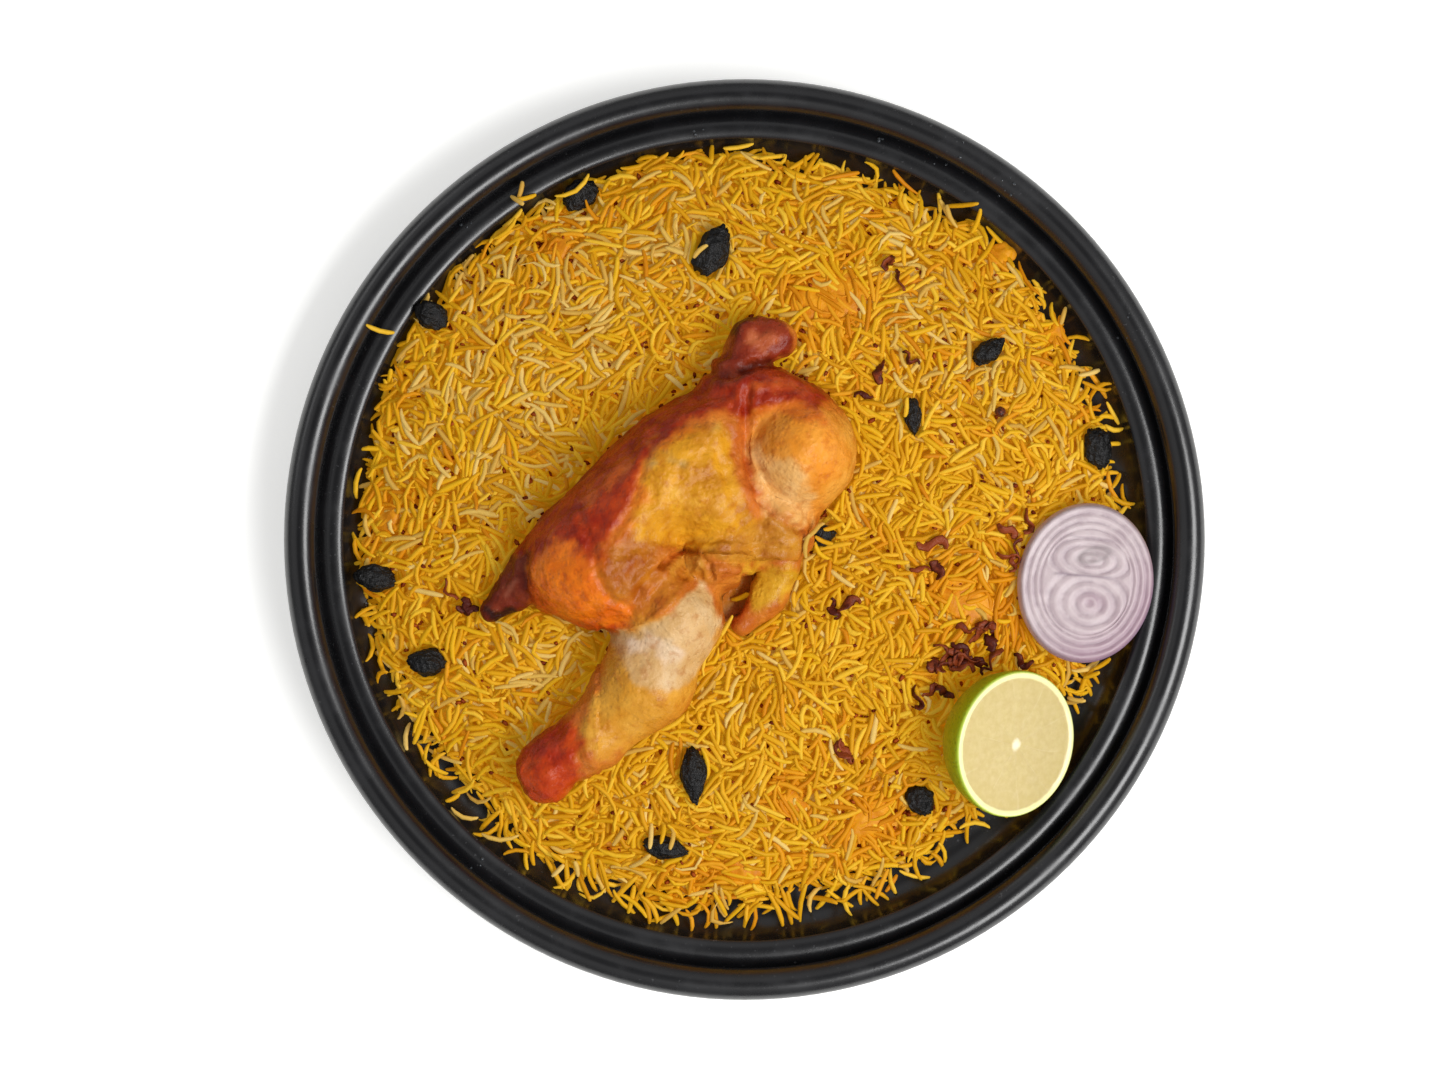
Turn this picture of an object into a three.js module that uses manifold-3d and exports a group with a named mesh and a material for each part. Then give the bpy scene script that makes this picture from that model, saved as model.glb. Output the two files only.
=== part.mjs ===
// Chicken mandi on a round black plate: a low mound of long-grain rice with half a roast
// chicken, half a lime, an onion slice and black raisins on it.
// Millimetres, +Z up. The origin is the middle of the plate's foot, at table height.

import * as THREE from 'three';
import { MarchingCubes } from 'three/addons/objects/MarchingCubes.js';
import { mergeVertices } from 'three/addons/utils/BufferGeometryUtils.js';
import Module from 'manifold-3d';

const wasm = await Module();
wasm.setup();

// ---------------------------------------------------------------- driving dimensions

const gap = 0.35; // clearance between pieces that touch

const plate = {
  floorTop: 6,
  floorRadius: 130,
  wallTop: [140, 16.2],
  wallBend: [139.7, 6.2], // control point of the wall's concave curve
  ridge: [[141.2, 17.1], [143.2, 17.6], [145.4, 17.4], [147.6, 16.6]], // low roll above the wall
  groove: [149.7, 15.2],
  beadCentre: [154.6, 20.6],
  beadRadius: 5.4, // the rolled rim, which makes the plate 320 across and 26 high
  underBend: [142.8, 3.2],
  underWallTop: [143.2, 13],
  underRidge: [151.4, 12.4],
  underside: 2.4,
  footOuter: 111,
  footInner: 106,
  footFlare: 1.2,
  segments: 44,
};

const heap = {
  centre: new THREE.Vector2(-3.5, 5),
  radius: 132.5,
  crown: 27, // height of the middle above the table
  edgeHeight: 11.5,
  steepness: 5, // power of the fall from crown to edge
  rings: 23, // about 6 apart
  seatRadius: 126, // where the rice meets the plate's floor
  undercut: 2.4, // how far the edge stands out over its side
  ridgeHeight: 2.1, // ridges as long as a grain
  ridgeShare: 0.13,
};

const grain = {
  length: 11,
  radius: 1.1,
  bend: 0.045, // sideways bow per millimetre squared
  sides: 5,
  aroundEdge: 34,
  onTop: 11,
};

const shred = { width: 3.4, thickness: 1.3, count: 14 };

const chicken = {
  base: 23.2, // underside, sunk a little into the rice
  blend: 6.5, // how softly the lobes run into one another
  cell: 6.2, // grid step of its surface
  reach: 104,
  middle: new THREE.Vector3(-28, -6, 30), // of the grid, which reaches this far each way
};

const lime = {
  radius: 25.6,
  centre: [93.8, -70.7, 34],
  tilt: 35, // of the cut face, in degrees
  heading: -12.5,
  rindEdge: 0.7,
  pithWidth: 2.6,
  pulpStep: 0.7, // the pulp lies a little lower than the pith round it
  segments: 24,
};

const onion = {
  length: 55.6,
  width: 47.6,
  thickness: 7,
  centre: [118.3, -15.1, 23.6],
  tilt: 4,
  heading: -7,
  ringStep: 0.5, // height of the step between rings of the onion
  segments: 28,
};

// Raisins: place on the plate, length, width, heading of the long axis, how far the middle
// stands above the rice, and how pointed the leading end is.
const raisins = [
  { at: [-11.3, 99.9], length: 21.5, width: 12.5, heading: 62, lift: 1.6, point: 0.1 },
  { at: [-17.5, -81.5], length: 22.2, width: 10.8, heading: -88, lift: 1.6, point: 0.5 },
  { at: [-108.9, 78], length: 14.5, width: 11.1, heading: -25, lift: 4, point: 0.2 },
  { at: [-111, -42.6], length: 15.6, width: 11.1, heading: 176, lift: 1.4, point: 0.5 },
  { at: [-129.2, -13.4], length: 17.4, width: 10.6, heading: 172, lift: 2.6, point: 0.3 },
  { at: [-57.1, 120.2], length: 15.4, width: 11.6, heading: 30, lift: 1.2, point: 0.2 },
  { at: [84.9, 65.5], length: 14.2, width: 9, heading: 38, lift: 1.2, point: 0.4 },
  { at: [58.2, 42.6], length: 14.6, width: 7.4, heading: -84, lift: 0.4, point: 0.5 },
  { at: [123.2, 32.1], length: 15.8, width: 11.4, heading: 98, lift: 2.2, point: 0 },
  { at: [-27.6, -107.2], length: 17.6, width: 9.4, heading: -12, lift: 0.4, point: 0.4 },
  { at: [61.3, -90.8], length: 13, width: 11.4, heading: -60, lift: 0.2, point: 0.3 },
  { at: [26.6, 1.2], length: 11.5, width: 8.6, heading: 20, lift: 0.4, point: 0 },
];
const raisinHeight = 9;
const raisinWrinkle = 0.13;

const finishes = {
  melamine: { color: 0x161617, roughness: 0.34, metalness: 0 },
  rice: { color: 0xe3ab25, roughness: 0.62, metalness: 0 },
  skin: { color: 0xc9641c, roughness: 0.38, metalness: 0 },
  rind: { color: 0xa9b52c, roughness: 0.45, metalness: 0 },
  onionFlesh: { color: 0xd6c3cb, roughness: 0.4, metalness: 0 },
  raisin: { color: 0x14110f, roughness: 0.55, metalness: 0 },
};

// ---------------------------------------------------------------- helpers

function seededRandom(seed) {
  let state = seed;
  return () => {
    state = (state + 0x6d2b79f5) | 0;
    let t = Math.imul(state ^ (state >>> 15), 1 | state);
    t = (t + Math.imul(t ^ (t >>> 7), 61 | t)) ^ t;
    return ((t ^ (t >>> 14)) >>> 0) / 4294967296;
  };
}

const radians = THREE.MathUtils.degToRad;
const clamp = THREE.MathUtils.clamp;

// Position-only geometry with shared corners joined and flattened triangles dropped.
function weld(geometry) {
  const bare = geometry.clone();
  for (const name of Object.keys(bare.attributes)) {
    if (name !== 'position') {
      bare.deleteAttribute(name);
    }
  }
  const joined = mergeVertices(bare, 1e-4);
  const kept = [];
  const index = joined.index.array;
  for (let i = 0; i < index.length; i += 3) {
    const [a, b, c] = [index[i], index[i + 1], index[i + 2]];
    if (a !== b && b !== c && c !== a) {
      kept.push(a, b, c);
    }
  }
  joined.setIndex(kept);
  return joined;
}

function toSolid(geometry) {
  const joined = weld(geometry);
  const mesh = new wasm.Mesh({
    numProp: 3,
    vertProperties: new Float32Array(joined.attributes.position.array),
    triVerts: new Uint32Array(joined.index.array),
  });
  return new wasm.Manifold(mesh);
}

function toGeometry(solid) {
  const mesh = solid.getMesh();
  const geometry = new THREE.BufferGeometry();
  geometry.setAttribute('position', new THREE.BufferAttribute(mesh.vertProperties.slice(), 3));
  geometry.setIndex(new THREE.BufferAttribute(mesh.triVerts.slice(), 1));
  geometry.computeVertexNormals();
  return geometry;
}

// The one main body of a solid, without loose scraps or sealed hollows.
function mainBody(solid) {
  const bodies = solid.decompose();
  return bodies.reduce((best, body) => (body.volume() > best.volume() ? body : best));
}

function namedMesh(name, geometry, finish) {
  const material = new THREE.MeshStandardMaterial({ ...finish, flatShading: true });
  const mesh = new THREE.Mesh(geometry, material);
  mesh.name = name;
  return mesh;
}

// Turns a piece modelled flat so that its upper face leans by a tilt towards a heading.
function lean(mesh, centre, tilt, heading) {
  mesh.position.set(...centre);
  mesh.rotation.set(0, radians(tilt), radians(heading), 'ZYX');
  mesh.updateMatrixWorld();
  return mesh;
}

function lathe(points, segments) {
  const profile = points.map(([r, z]) => new THREE.Vector2(r, z));
  return new THREE.LatheGeometry(profile, segments).rotateX(Math.PI / 2);
}

function arcPoints([cx, cz], radius, fromDegrees, toDegrees, steps) {
  const points = [];
  for (let i = 0; i <= steps; i += 1) {
    const angle = radians(fromDegrees + ((toDegrees - fromDegrees) * i) / steps);
    points.push([cx + radius * Math.cos(angle), cz + radius * Math.sin(angle)]);
  }
  return points;
}

function bendPoints(start, control, end, steps) {
  const corners = [start, control, end].map((p) => new THREE.Vector2(...p));
  const curve = new THREE.QuadraticBezierCurve(...corners);
  return curve.getPoints(steps).map((p) => [p.x, p.y]);
}

// ---------------------------------------------------------------- plate

const wallCurve = bendPoints([plate.floorRadius, plate.floorTop], plate.wallBend, plate.wallTop, 4);

function makePlate() {
  const underEnd = [plate.floorRadius, plate.underside + 0.6];
  const underCurve = bendPoints(plate.underWallTop, plate.underBend, underEnd, 2);
  const profile = [
    [0, plate.underside],
    [plate.footInner - plate.footFlare, plate.underside],
    [plate.footInner, 0],
    [plate.footOuter, 0],
    [plate.footOuter + plate.footFlare, plate.underside],
    ...underCurve.reverse(),
    plate.underRidge,
    ...arcPoints(plate.beadCentre, plate.beadRadius, -60, 188, 7),
    plate.groove,
    ...[...plate.ridge].reverse(),
    ...[...wallCurve].reverse(),
    [0, plate.floorTop],
  ];
  return lathe(profile, plate.segments);
}

// Height of the plate's upper face at a distance from its middle. Its flat facets stand a
// little inside the circle, so the face is read that much further out.
function plateTop(distance) {
  const radius = distance / Math.cos(Math.PI / plate.segments);
  const upper = [...wallCurve, ...plate.ridge, plate.groove, plate.beadCentre];
  if (radius <= upper[0][0]) {
    return plate.floorTop;
  }
  const next = upper.findIndex(([r]) => r > radius);
  if (next < 0) {
    return plate.beadCentre[1] + plate.beadRadius;
  }
  const [r0, z0] = upper[next - 1];
  const [r1, z1] = upper[next];
  return z0 + ((z1 - z0) * (radius - r0)) / (r1 - r0);
}

// ---------------------------------------------------------------- chicken

function ellipsoid(at, semi, heading = 0) {
  const turn = radians(-heading);
  const [cos, sin] = [Math.cos(turn), Math.sin(turn)];
  return (p) => {
    const [dx, dy, dz] = [p.x - at[0], p.y - at[1], p.z - at[2]];
    const local = [dx * cos - dy * sin, dx * sin + dy * cos, dz];
    const scaled = Math.hypot(...local.map((v, i) => v / semi[i]));
    const slope = Math.hypot(...local.map((v, i) => v / semi[i] ** 2));
    return slope === 0 ? -Math.min(...semi) : (scaled * (scaled - 1)) / slope;
  };
}

// A tapered bar with round ends; flat makes it lower than wide.
function taper(from, to, fromRadius, toRadius, flat = 1) {
  const stretch = new THREE.Vector3(1, 1, 1 / flat);
  const a = new THREE.Vector3(...from).multiply(stretch);
  const axis = new THREE.Vector3(...to).multiply(stretch).sub(a);
  const offset = new THREE.Vector3();
  return (p) => {
    offset.copy(p).multiply(stretch).sub(a);
    const along = clamp(offset.dot(axis) / axis.lengthSq(), 0, 1);
    const radius = fromRadius + (toRadius - fromRadius) * along;
    return (offset.addScaledVector(axis, -along).length() - radius) * Math.min(1, flat);
  };
}

function softMin(a, b, width) {
  const share = Math.max(width - Math.abs(a - b), 0) / width;
  return Math.min(a, b) - (share * share * width) / 4;
}

// The lobes of the meat and skin: middle or ends, half sizes, and heading of the long axis.
const lobes = [
  ellipsoid([-33.2, 16.2, 31], [52.5, 19.4, 29], 43), // back, from tail to shoulder
  ellipsoid([-47.5, -8.5, 33], [28, 22.5, 27], -10), // thigh
  ellipsoid([-24.6, -25.5, 33], [17, 16.5, 22]), // knee
  taper([-27, -30, 34], [-34, -49, 34], 17, 15.6), // drumstick, thick half
  taper([-34, -49, 34], [-52.5, -68.5, 32], 15.6, 10.2),
  taper([-52.5, -68.5, 32], [-62.5, -74, 31], 10.2, 8.8),
  ellipsoid([-69, -80.4, 30], [9.4, 10.2, 9.6], 30), // ankle
  ellipsoid([-14, 17.2, 34], [26, 18.5, 23], -30), // flank
  ellipsoid([19.4, 31, 31], [18.8, 19.5, 27]), // breast
  taper([20.5, 22, 30], [19.8, 8.4, 29], 13.5, 5), // breast tip
  ellipsoid([6.4, 49.4, 32], [20, 9.4, 20], -10), // shoulder
  taper([-2, 57, 33], [3, 66, 34], 8, 6.4), // wing joint
  taper([2.4, 68.6, 34], [11.4, 69, 34], 6.6, 5.8),
  ellipsoid([9.6, -1.9, 33], [14.2, 6.6, 11], 8), // flap under the breast
  taper([13.6, -10, 28], [8, -20.4, 27], 6, 5.2), // loose strip of skin
  taper([8, -20.4, 27], [-0.6, -29.6, 27], 5.2, 3.6),
  ellipsoid([-7.4, -7.4, 32], [10.4, 10.6, 13]), // fold under the flank
  taper([-74, -12.4, 29], [-87.4, -24.2, 27], 8.6, 3.2, 0.8), // tail
];

// Grooves where skin folds over, cut into the lobes.
const creases = [
  taper([-27, -5.6, 61], [-14, -3.4, 57], 4.6, 4.2), // fold above the knee
  taper([-2.4, 42, 61.5], [14.6, 11, 58], 4.4, 4.4), // between flank and breast
];

function chickenDistance(p) {
  const body = lobes.reduce((nearest, lobe) => softMin(nearest, lobe(p), chicken.blend), Infinity);
  return creases.reduce((kept, groove) => -softMin(-kept, groove(p), chicken.blend), body);
}

// The surface where a distance function is zero, found on a cubic grid.
function surfaceOf(distance) {
  const size = Math.ceil((2 * chicken.reach) / chicken.cell);
  const cubes = new MarchingCubes(size, new THREE.MeshStandardMaterial(), false, false, 12000);
  const point = new THREE.Vector3();
  cubes.isolation = 0;
  for (let z = 0; z < size; z += 1) {
    for (let y = 0; y < size; y += 1) {
      for (let x = 0; x < size; x += 1) {
        point.set(x, y, z).subScalar(cubes.halfsize).multiplyScalar(chicken.reach / cubes.halfsize);
        point.add(chicken.middle);
        cubes.field[x + y * cubes.size + z * cubes.size2] = -distance(point);
      }
    }
  }
  cubes.update();
  const geometry = new THREE.BufferGeometry();
  const corners = cubes.positionArray.slice(0, cubes.count * 3);
  geometry.setAttribute('position', new THREE.BufferAttribute(corners, 3));
  geometry.scale(chicken.reach, chicken.reach, chicken.reach);
  return geometry.translate(...chicken.middle.toArray());
}

function makeChicken() {
  const whole = toSolid(surfaceOf(chickenDistance));
  const below = new THREE.BoxGeometry(300, 300, 100).translate(0, 0, chicken.base - 50);
  return mainBody(whole.subtract(toSolid(below)));
}

// A copy of a solid whose corners are pushed out along their normals.
function grown(solid, distance) {
  const geometry = toGeometry(solid);
  const corners = geometry.attributes.position;
  const normals = geometry.attributes.normal;
  const corner = new THREE.Vector3();
  const normal = new THREE.Vector3();
  for (let i = 0; i < corners.count; i += 1) {
    normal.fromBufferAttribute(normals, i);
    corner.fromBufferAttribute(corners, i).addScaledVector(normal, distance);
    corners.setXYZ(i, ...corner.toArray());
  }
  return geometry;
}

// ---------------------------------------------------------------- lime, onion, raisins

// Each is made about its own middle, with its cut face up; extra makes it larger all round,
// for the pocket that it lies in.
function makeLime(extra) {
  const radius = lime.radius + extra;
  const pulp = radius - lime.pithWidth;
  const profile = [
    [0, -radius],
    ...arcPoints([0, 0], radius, -90, -4, 6).slice(1),
    [radius - lime.rindEdge, extra],
    [pulp, extra],
    [pulp - 2 * lime.pulpStep, extra - lime.pulpStep],
    [0, extra - lime.pulpStep / 2],
  ];
  return lathe(profile, lime.segments);
}

function makeOnion(extra) {
  const half = onion.thickness / 2 + extra;
  const radius = onion.length / 2 + extra;
  const profile = [
    [0, -half],
    [radius * 0.92, -half],
    [radius, 0],
    [radius * 0.93, half],
    [radius * 0.72, half],
    [radius * 0.68, half - onion.ringStep],
    [radius * 0.4, half - onion.ringStep],
    [radius * 0.36, half],
    [0, half],
  ];
  return lathe(profile, onion.segments).scale(onion.width / onion.length, 1, 1);
}

function makeRaisin(raisin, number, extra) {
  const random = seededRandom(100 + number);
  const geometry = weld(new THREE.IcosahedronGeometry(1, 1));
  const corners = geometry.attributes.position;
  const corner = new THREE.Vector3();
  for (let i = 0; i < corners.count; i += 1) {
    corner.fromBufferAttribute(corners, i);
    corner.multiplyScalar(1 - raisinWrinkle * random());
    const slim = 1 - raisin.point * clamp(corner.x, 0, 1);
    corner.set(corner.x, corner.y * slim, corner.z * slim);
    corners.setXYZ(i, ...corner.toArray());
  }
  geometry.scale(raisin.length / 2 + extra, raisin.width / 2 + extra, raisinHeight / 2 + extra);
  const [x, y] = raisin.at;
  return geometry.rotateZ(radians(raisin.heading)).translate(x, y, heapTop(x, y) + raisin.lift);
}

// ---------------------------------------------------------------- rice

function heapEdge(angle) {
  const slow = 1.3 * Math.sin(3 * angle + 0.6) + 1.1 * Math.sin(7 * angle + 2.1);
  const quick = 1.1 * Math.sin(13 * angle + 4) + 0.9 * Math.sin(29 * angle + 1);
  return heap.radius + slow + quick;
}

function heapTop(x, y) {
  const [dx, dy] = [x - heap.centre.x, y - heap.centre.y];
  const share = Math.min(Math.hypot(dx, dy) / heapEdge(Math.atan2(dy, dx)), 1);
  const roll = 1.1 * Math.sin(x / 16 + 1) * Math.sin(y / 19) + 0.7 * Math.sin((x - y) / 10);
  const swell = (heap.crown - heap.edgeHeight) * (1 - share ** heap.steepness);
  return heap.edgeHeight + swell + roll * (1 - share);
}

// A point on a ring of the heap, at a share of the way round it.
function ringPoint(radius, turn) {
  const angle = 2 * Math.PI * turn;
  return [heap.centre.x + radius(angle) * Math.cos(angle), heap.centre.y + radius(angle) * Math.sin(angle)];
}

// Grain-long ridges: short chains of neighbouring lattice points that stand up together.
function ridgeHeights(random) {
  const emptyRing = (_, ring) => new Array(Math.max(6 * ring, 1)).fill(0);
  const heights = Array.from({ length: heap.rings + 1 }, emptyRing);
  const directions = [[0, 1], [1, 0], [1, 1], [-1, 1]];
  for (let ring = 1; ring < heap.rings; ring += 1) {
    for (let step = 0; step < 6 * ring; step += 1) {
      if (random() < heap.ridgeShare) {
        const [ringStep, along] = directions[Math.floor(random() * directions.length)];
        const height = heap.ridgeHeight * (0.6 + 0.4 * random());
        for (let link = 0; link < 3; link += 1) {
          const toRing = clamp(ring + ringStep * link, 1, heap.rings - 1);
          const toStep = Math.round((step * toRing) / ring) + along * link;
          const row = heights[toRing];
          row[((toStep % row.length) + row.length) % row.length] = height;
        }
      }
    }
  }
  return heights;
}

// The heap's skin as rings of points: out over the top, down the overhanging side, and back
// along the flat underside. Each ring on top has six points more than the one inside it.
function heapRings(random) {
  const heights = ridgeHeights(random);
  const rings = [];
  for (let ring = 0; ring <= heap.rings; ring += 1) {
    const count = Math.max(6 * ring, 1);
    const points = Array.from({ length: count }, (_, step) => {
      const [x, y] = ringPoint((angle) => (heapEdge(angle) * ring) / heap.rings, step / count);
      const wall = plateTop(Math.hypot(x, y)) + gap * 4;
      return [x, y, Math.max(heapTop(x, y) + heights[ring][step], wall)];
    });
    rings.push(points);
  }
  const lipCount = heap.rings * 3;
  rings.push(
    Array.from({ length: lipCount }, (_, step) => {
      const [x, y] = ringPoint((angle) => heapEdge(angle) - heap.undercut, step / lipCount);
      return [x, y, plateTop(Math.hypot(x, y) + heap.undercut) + gap * 2];
    }),
  );
  const seatCount = Math.ceil(lipCount / 2);
  rings.push(
    Array.from({ length: seatCount }, (_, step) => {
      const angle = (2 * Math.PI * step) / seatCount;
      return [heap.seatRadius * Math.cos(angle), heap.seatRadius * Math.sin(angle), plate.floorTop + gap];
    }),
  );
  rings.push([[0, 0, plate.floorTop + gap]]);
  return rings;
}

// A closed skin over a list of rings, zipped together whatever their numbers of points.
function skinOver(rings) {
  const faces = [];
  let first = 0;
  for (let k = 1; k < rings.length; k += 1) {
    const [before, after] = [rings[k - 1].length, rings[k].length];
    const next = first + before;
    let [i, j] = [0, 0];
    while (i < before || j < after) {
      const a = first + (i % before);
      const b = next + (j % after);
      if (j < after && (i === before || (j + 1) / after <= (i + 1) / before)) {
        j += 1;
        faces.push(a, b, next + (j % after));
      } else {
        i += 1;
        faces.push(a, b, first + (i % before));
      }
    }
    first = next;
  }
  const geometry = new THREE.BufferGeometry();
  geometry.setAttribute('position', new THREE.BufferAttribute(new Float32Array(rings.flat(2)), 3));
  geometry.setIndex(faces);
  return geometry;
}

function grainGeometry(length) {
  const shaft = length - 2 * grain.radius;
  const geometry = new THREE.CapsuleGeometry(grain.radius, shaft, 1, grain.sides, 2).rotateZ(Math.PI / 2);
  const corners = geometry.attributes.position;
  for (let i = 0; i < corners.count; i += 1) {
    corners.setY(i, corners.getY(i) + grain.bend * corners.getX(i) ** 2);
  }
  return geometry;
}

// Lifts a small piece until every corner clears the plate.
function clearOfPlate(geometry) {
  const corners = geometry.attributes.position;
  let lift = 0;
  for (let i = 0; i < corners.count; i += 1) {
    const under = plateTop(Math.hypot(corners.getX(i), corners.getY(i))) + gap * 2;
    lift = Math.max(lift, under - corners.getZ(i));
  }
  return geometry.translate(0, 0, lift);
}

// Round patches of the heap that toppings cover, as place and radius.
function coveredPatches() {
  const patches = raisins.map((raisin) => [...raisin.at, raisin.length / 2]);
  patches.push([lime.centre[0], lime.centre[1], lime.radius + 1]);
  patches.push([onion.centre[0], onion.centre[1], onion.length / 2 + 1]);
  return patches;
}

// A piece clears the toppings when none of its corners is over a covered patch or the chicken.
function clearOfToppings(geometry, patches) {
  const corners = geometry.attributes.position;
  const corner = new THREE.Vector3();
  for (let i = 0; i < corners.count; i += 1) {
    corner.fromBufferAttribute(corners, i);
    const covered = patches.some(([x, y, radius]) => Math.hypot(corner.x - x, corner.y - y) < radius + 1);
    if (covered || chickenDistance(corner.setZ(chicken.base + 6)) < 2) {
      return false;
    }
  }
  return true;
}

// Grains that stand out of the heap's edge, one in each stretch of the rim.
function edgeGrains(random) {
  const pieces = [];
  for (let i = 0; i < grain.aroundEdge; i += 1) {
    const angle = (2 * Math.PI * (i + 0.7 * random())) / grain.aroundEdge;
    const radius = heapEdge(angle) - 0.5 - 3.5 * random();
    const piece = grainGeometry(grain.length * (0.85 + 0.3 * random()));
    piece.rotateX(2 * Math.PI * random());
    piece.rotateY(radians(-6 + 14 * random()));
    piece.rotateZ(angle + radians(-60 + 120 * random()));
    const [x, y] = [heap.centre.x + radius * Math.cos(angle), heap.centre.y + radius * Math.sin(angle)];
    pieces.push(clearOfPlate(piece.translate(x, y, heap.edgeHeight + 1.2 * random())));
  }
  return pieces;
}

// Loose grains on the heap, on a sunflower spiral so that they lie evenly.
function topGrains(random) {
  const pieces = [];
  const turn = Math.PI * (3 - Math.sqrt(5));
  for (let i = 0; i < grain.onTop; i += 1) {
    const radius = heap.radius * 0.93 * Math.sqrt((i + 0.5) / grain.onTop);
    const [x, y] = [radius * Math.cos(i * turn), radius * Math.sin(i * turn)];
    const piece = grainGeometry(grain.length * (0.85 + 0.3 * random()));
    piece.rotateX(2 * Math.PI * random());
    piece.rotateY(radians(-8 + 16 * random()));
    piece.rotateZ(2 * Math.PI * random());
    pieces.push(piece.translate(x, y, heapTop(x, y) + heap.ridgeHeight * 0.8));
  }
  return pieces;
}

// Curled strips of fried onion, most of them between the lime and the onion slice.
function onionShreds(random) {
  const spots = [
    [68, -44], [79, -39], [62, -57], [88, -47], [66, -12], [58, -2], [47, 52], [95, 3],
    [38, -80], [-97, -22], [49, 96], [87, -30], [-103, -14], [31, -26],
  ];
  return spots.slice(0, shred.count).map(([x, y]) => {
    const length = 11 + 9 * random();
    const piece = new THREE.BoxGeometry(length, shred.width, shred.thickness, 3, 1, 1);
    const corners = piece.attributes.position;
    const curl = 0.012 + 0.02 * random();
    for (let i = 0; i < corners.count; i += 1) {
      const along = corners.getX(i);
      corners.setY(i, corners.getY(i) + curl * along * along);
    }
    piece.rotateX(radians(-35 + 70 * random())).rotateZ(2 * Math.PI * random());
    return piece.translate(x, y, heapTop(x, y) + heap.ridgeHeight * 0.7);
  });
}

function makeHeap(pockets) {
  const random = seededRandom(7);
  const patches = coveredPatches();
  let solid = toSolid(skinOver(heapRings(random)));
  const pieces = [...edgeGrains(random), ...topGrains(random), ...onionShreds(random)];
  for (const piece of pieces) {
    if (clearOfToppings(piece, patches)) {
      solid = solid.add(toSolid(piece));
    }
  }
  for (const pocket of pockets) {
    solid = solid.subtract(toSolid(pocket));
  }
  return mainBody(solid);
}

// ---------------------------------------------------------------- assembly

const limeMesh = lean(
  namedMesh('lime_half', makeLime(0), finishes.rind),
  lime.centre,
  lime.tilt,
  lime.heading,
);
const onionMesh = lean(
  namedMesh('onion_slice', makeOnion(0), finishes.onionFlesh),
  onion.centre,
  onion.tilt,
  onion.heading,
);
const chickenSolid = makeChicken();
const chickenPocket = grown(chickenSolid, gap * 1.4);

function makeRaisinMesh(raisin, index) {
  const name = `raisin_${String(index + 1).padStart(2, '0')}`;
  const solid = toSolid(makeRaisin(raisin, index, 0)).subtract(toSolid(chickenPocket));
  return namedMesh(name, toGeometry(mainBody(solid)), finishes.raisin);
}

const pockets = [
  chickenPocket,
  makeLime(gap).applyMatrix4(limeMesh.matrixWorld),
  makeOnion(gap).applyMatrix4(onionMesh.matrixWorld),
  ...raisins.map((raisin, index) => makeRaisin(raisin, index, gap)),
];

const mandi = new THREE.Group();
mandi.name = 'chicken_mandi_plate';
mandi.add(namedMesh('plate', makePlate(), finishes.melamine));
mandi.add(namedMesh('rice_bed', toGeometry(makeHeap(pockets)), finishes.rice));
mandi.add(namedMesh('half_chicken', toGeometry(chickenSolid), finishes.skin));
mandi.add(limeMesh, onionMesh);
mandi.add(...raisins.map(makeRaisinMesh));

export default mandi;
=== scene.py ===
import math

import bpy
import numpy as np
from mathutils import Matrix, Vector, noise
from mathutils.bvhtree import BVHTree


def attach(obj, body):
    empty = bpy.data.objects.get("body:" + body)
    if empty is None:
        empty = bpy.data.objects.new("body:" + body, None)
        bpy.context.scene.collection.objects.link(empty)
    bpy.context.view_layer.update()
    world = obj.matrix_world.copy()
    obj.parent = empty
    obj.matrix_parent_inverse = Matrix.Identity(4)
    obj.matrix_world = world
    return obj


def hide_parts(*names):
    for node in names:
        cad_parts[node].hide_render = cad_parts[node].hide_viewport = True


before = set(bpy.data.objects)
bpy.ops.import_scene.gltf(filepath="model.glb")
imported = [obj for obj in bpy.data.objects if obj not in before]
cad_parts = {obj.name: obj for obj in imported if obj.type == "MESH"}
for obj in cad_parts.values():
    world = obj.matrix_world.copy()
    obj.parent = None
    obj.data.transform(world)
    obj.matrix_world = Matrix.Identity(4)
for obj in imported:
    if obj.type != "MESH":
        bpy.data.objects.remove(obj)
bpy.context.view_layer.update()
mm = 0.001  # sizes below are in millimetres

photo = {
    "size": (1440, 1080),
    "plateAt": (744.5, 539.5),  # pixel that shows the middle of the plate
    "mmPerPixel": 0.3474,
    "scaleHeight": 22,  # height at which that scale holds, the plate's rim
    "cameraHeight": 1500,
}


def fromPhoto(px, py):
    # the place on the plate that a pixel of the photograph shows
    across = (px - photo["plateAt"][0]) * photo["mmPerPixel"]
    up = (photo["plateAt"][1] - py) * photo["mmPerPixel"]
    return across, up


# small helpers

def clearSelection():
    if bpy.context.mode != "OBJECT":
        bpy.ops.object.mode_set(mode="OBJECT")
    bpy.ops.object.select_all(action="DESELECT")


def pick(piece):
    clearSelection()
    piece.select_set(True)
    bpy.context.view_layer.objects.active = piece


def settle(piece):
    # its place goes into its mesh
    pick(piece)
    bpy.ops.object.transform_apply(location=True, rotation=True, scale=True)
    return piece


def editAll(piece):
    pick(piece)
    bpy.ops.object.mode_set(mode="EDIT")
    bpy.ops.mesh.select_all(action="SELECT")


def corners(piece):
    # its vertices in millimetres
    found = np.empty(len(piece.data.vertices) * 3)
    piece.data.vertices.foreach_get("co", found)
    return found.reshape(-1, 3) / mm


def moveCorners(piece, places):
    piece.data.vertices.foreach_set("co", (np.asarray(places) * mm).ravel())
    piece.data.update()


def paint(piece, name, values):
    values = np.asarray(values, float)
    kind, field = ("FLOAT", "value") if values.ndim == 1 else ("FLOAT_VECTOR", "vector")
    layer = piece.data.attributes.new(name, kind, "POINT")
    layer.data.foreach_set(field, values.astype(np.float32).ravel())


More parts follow.
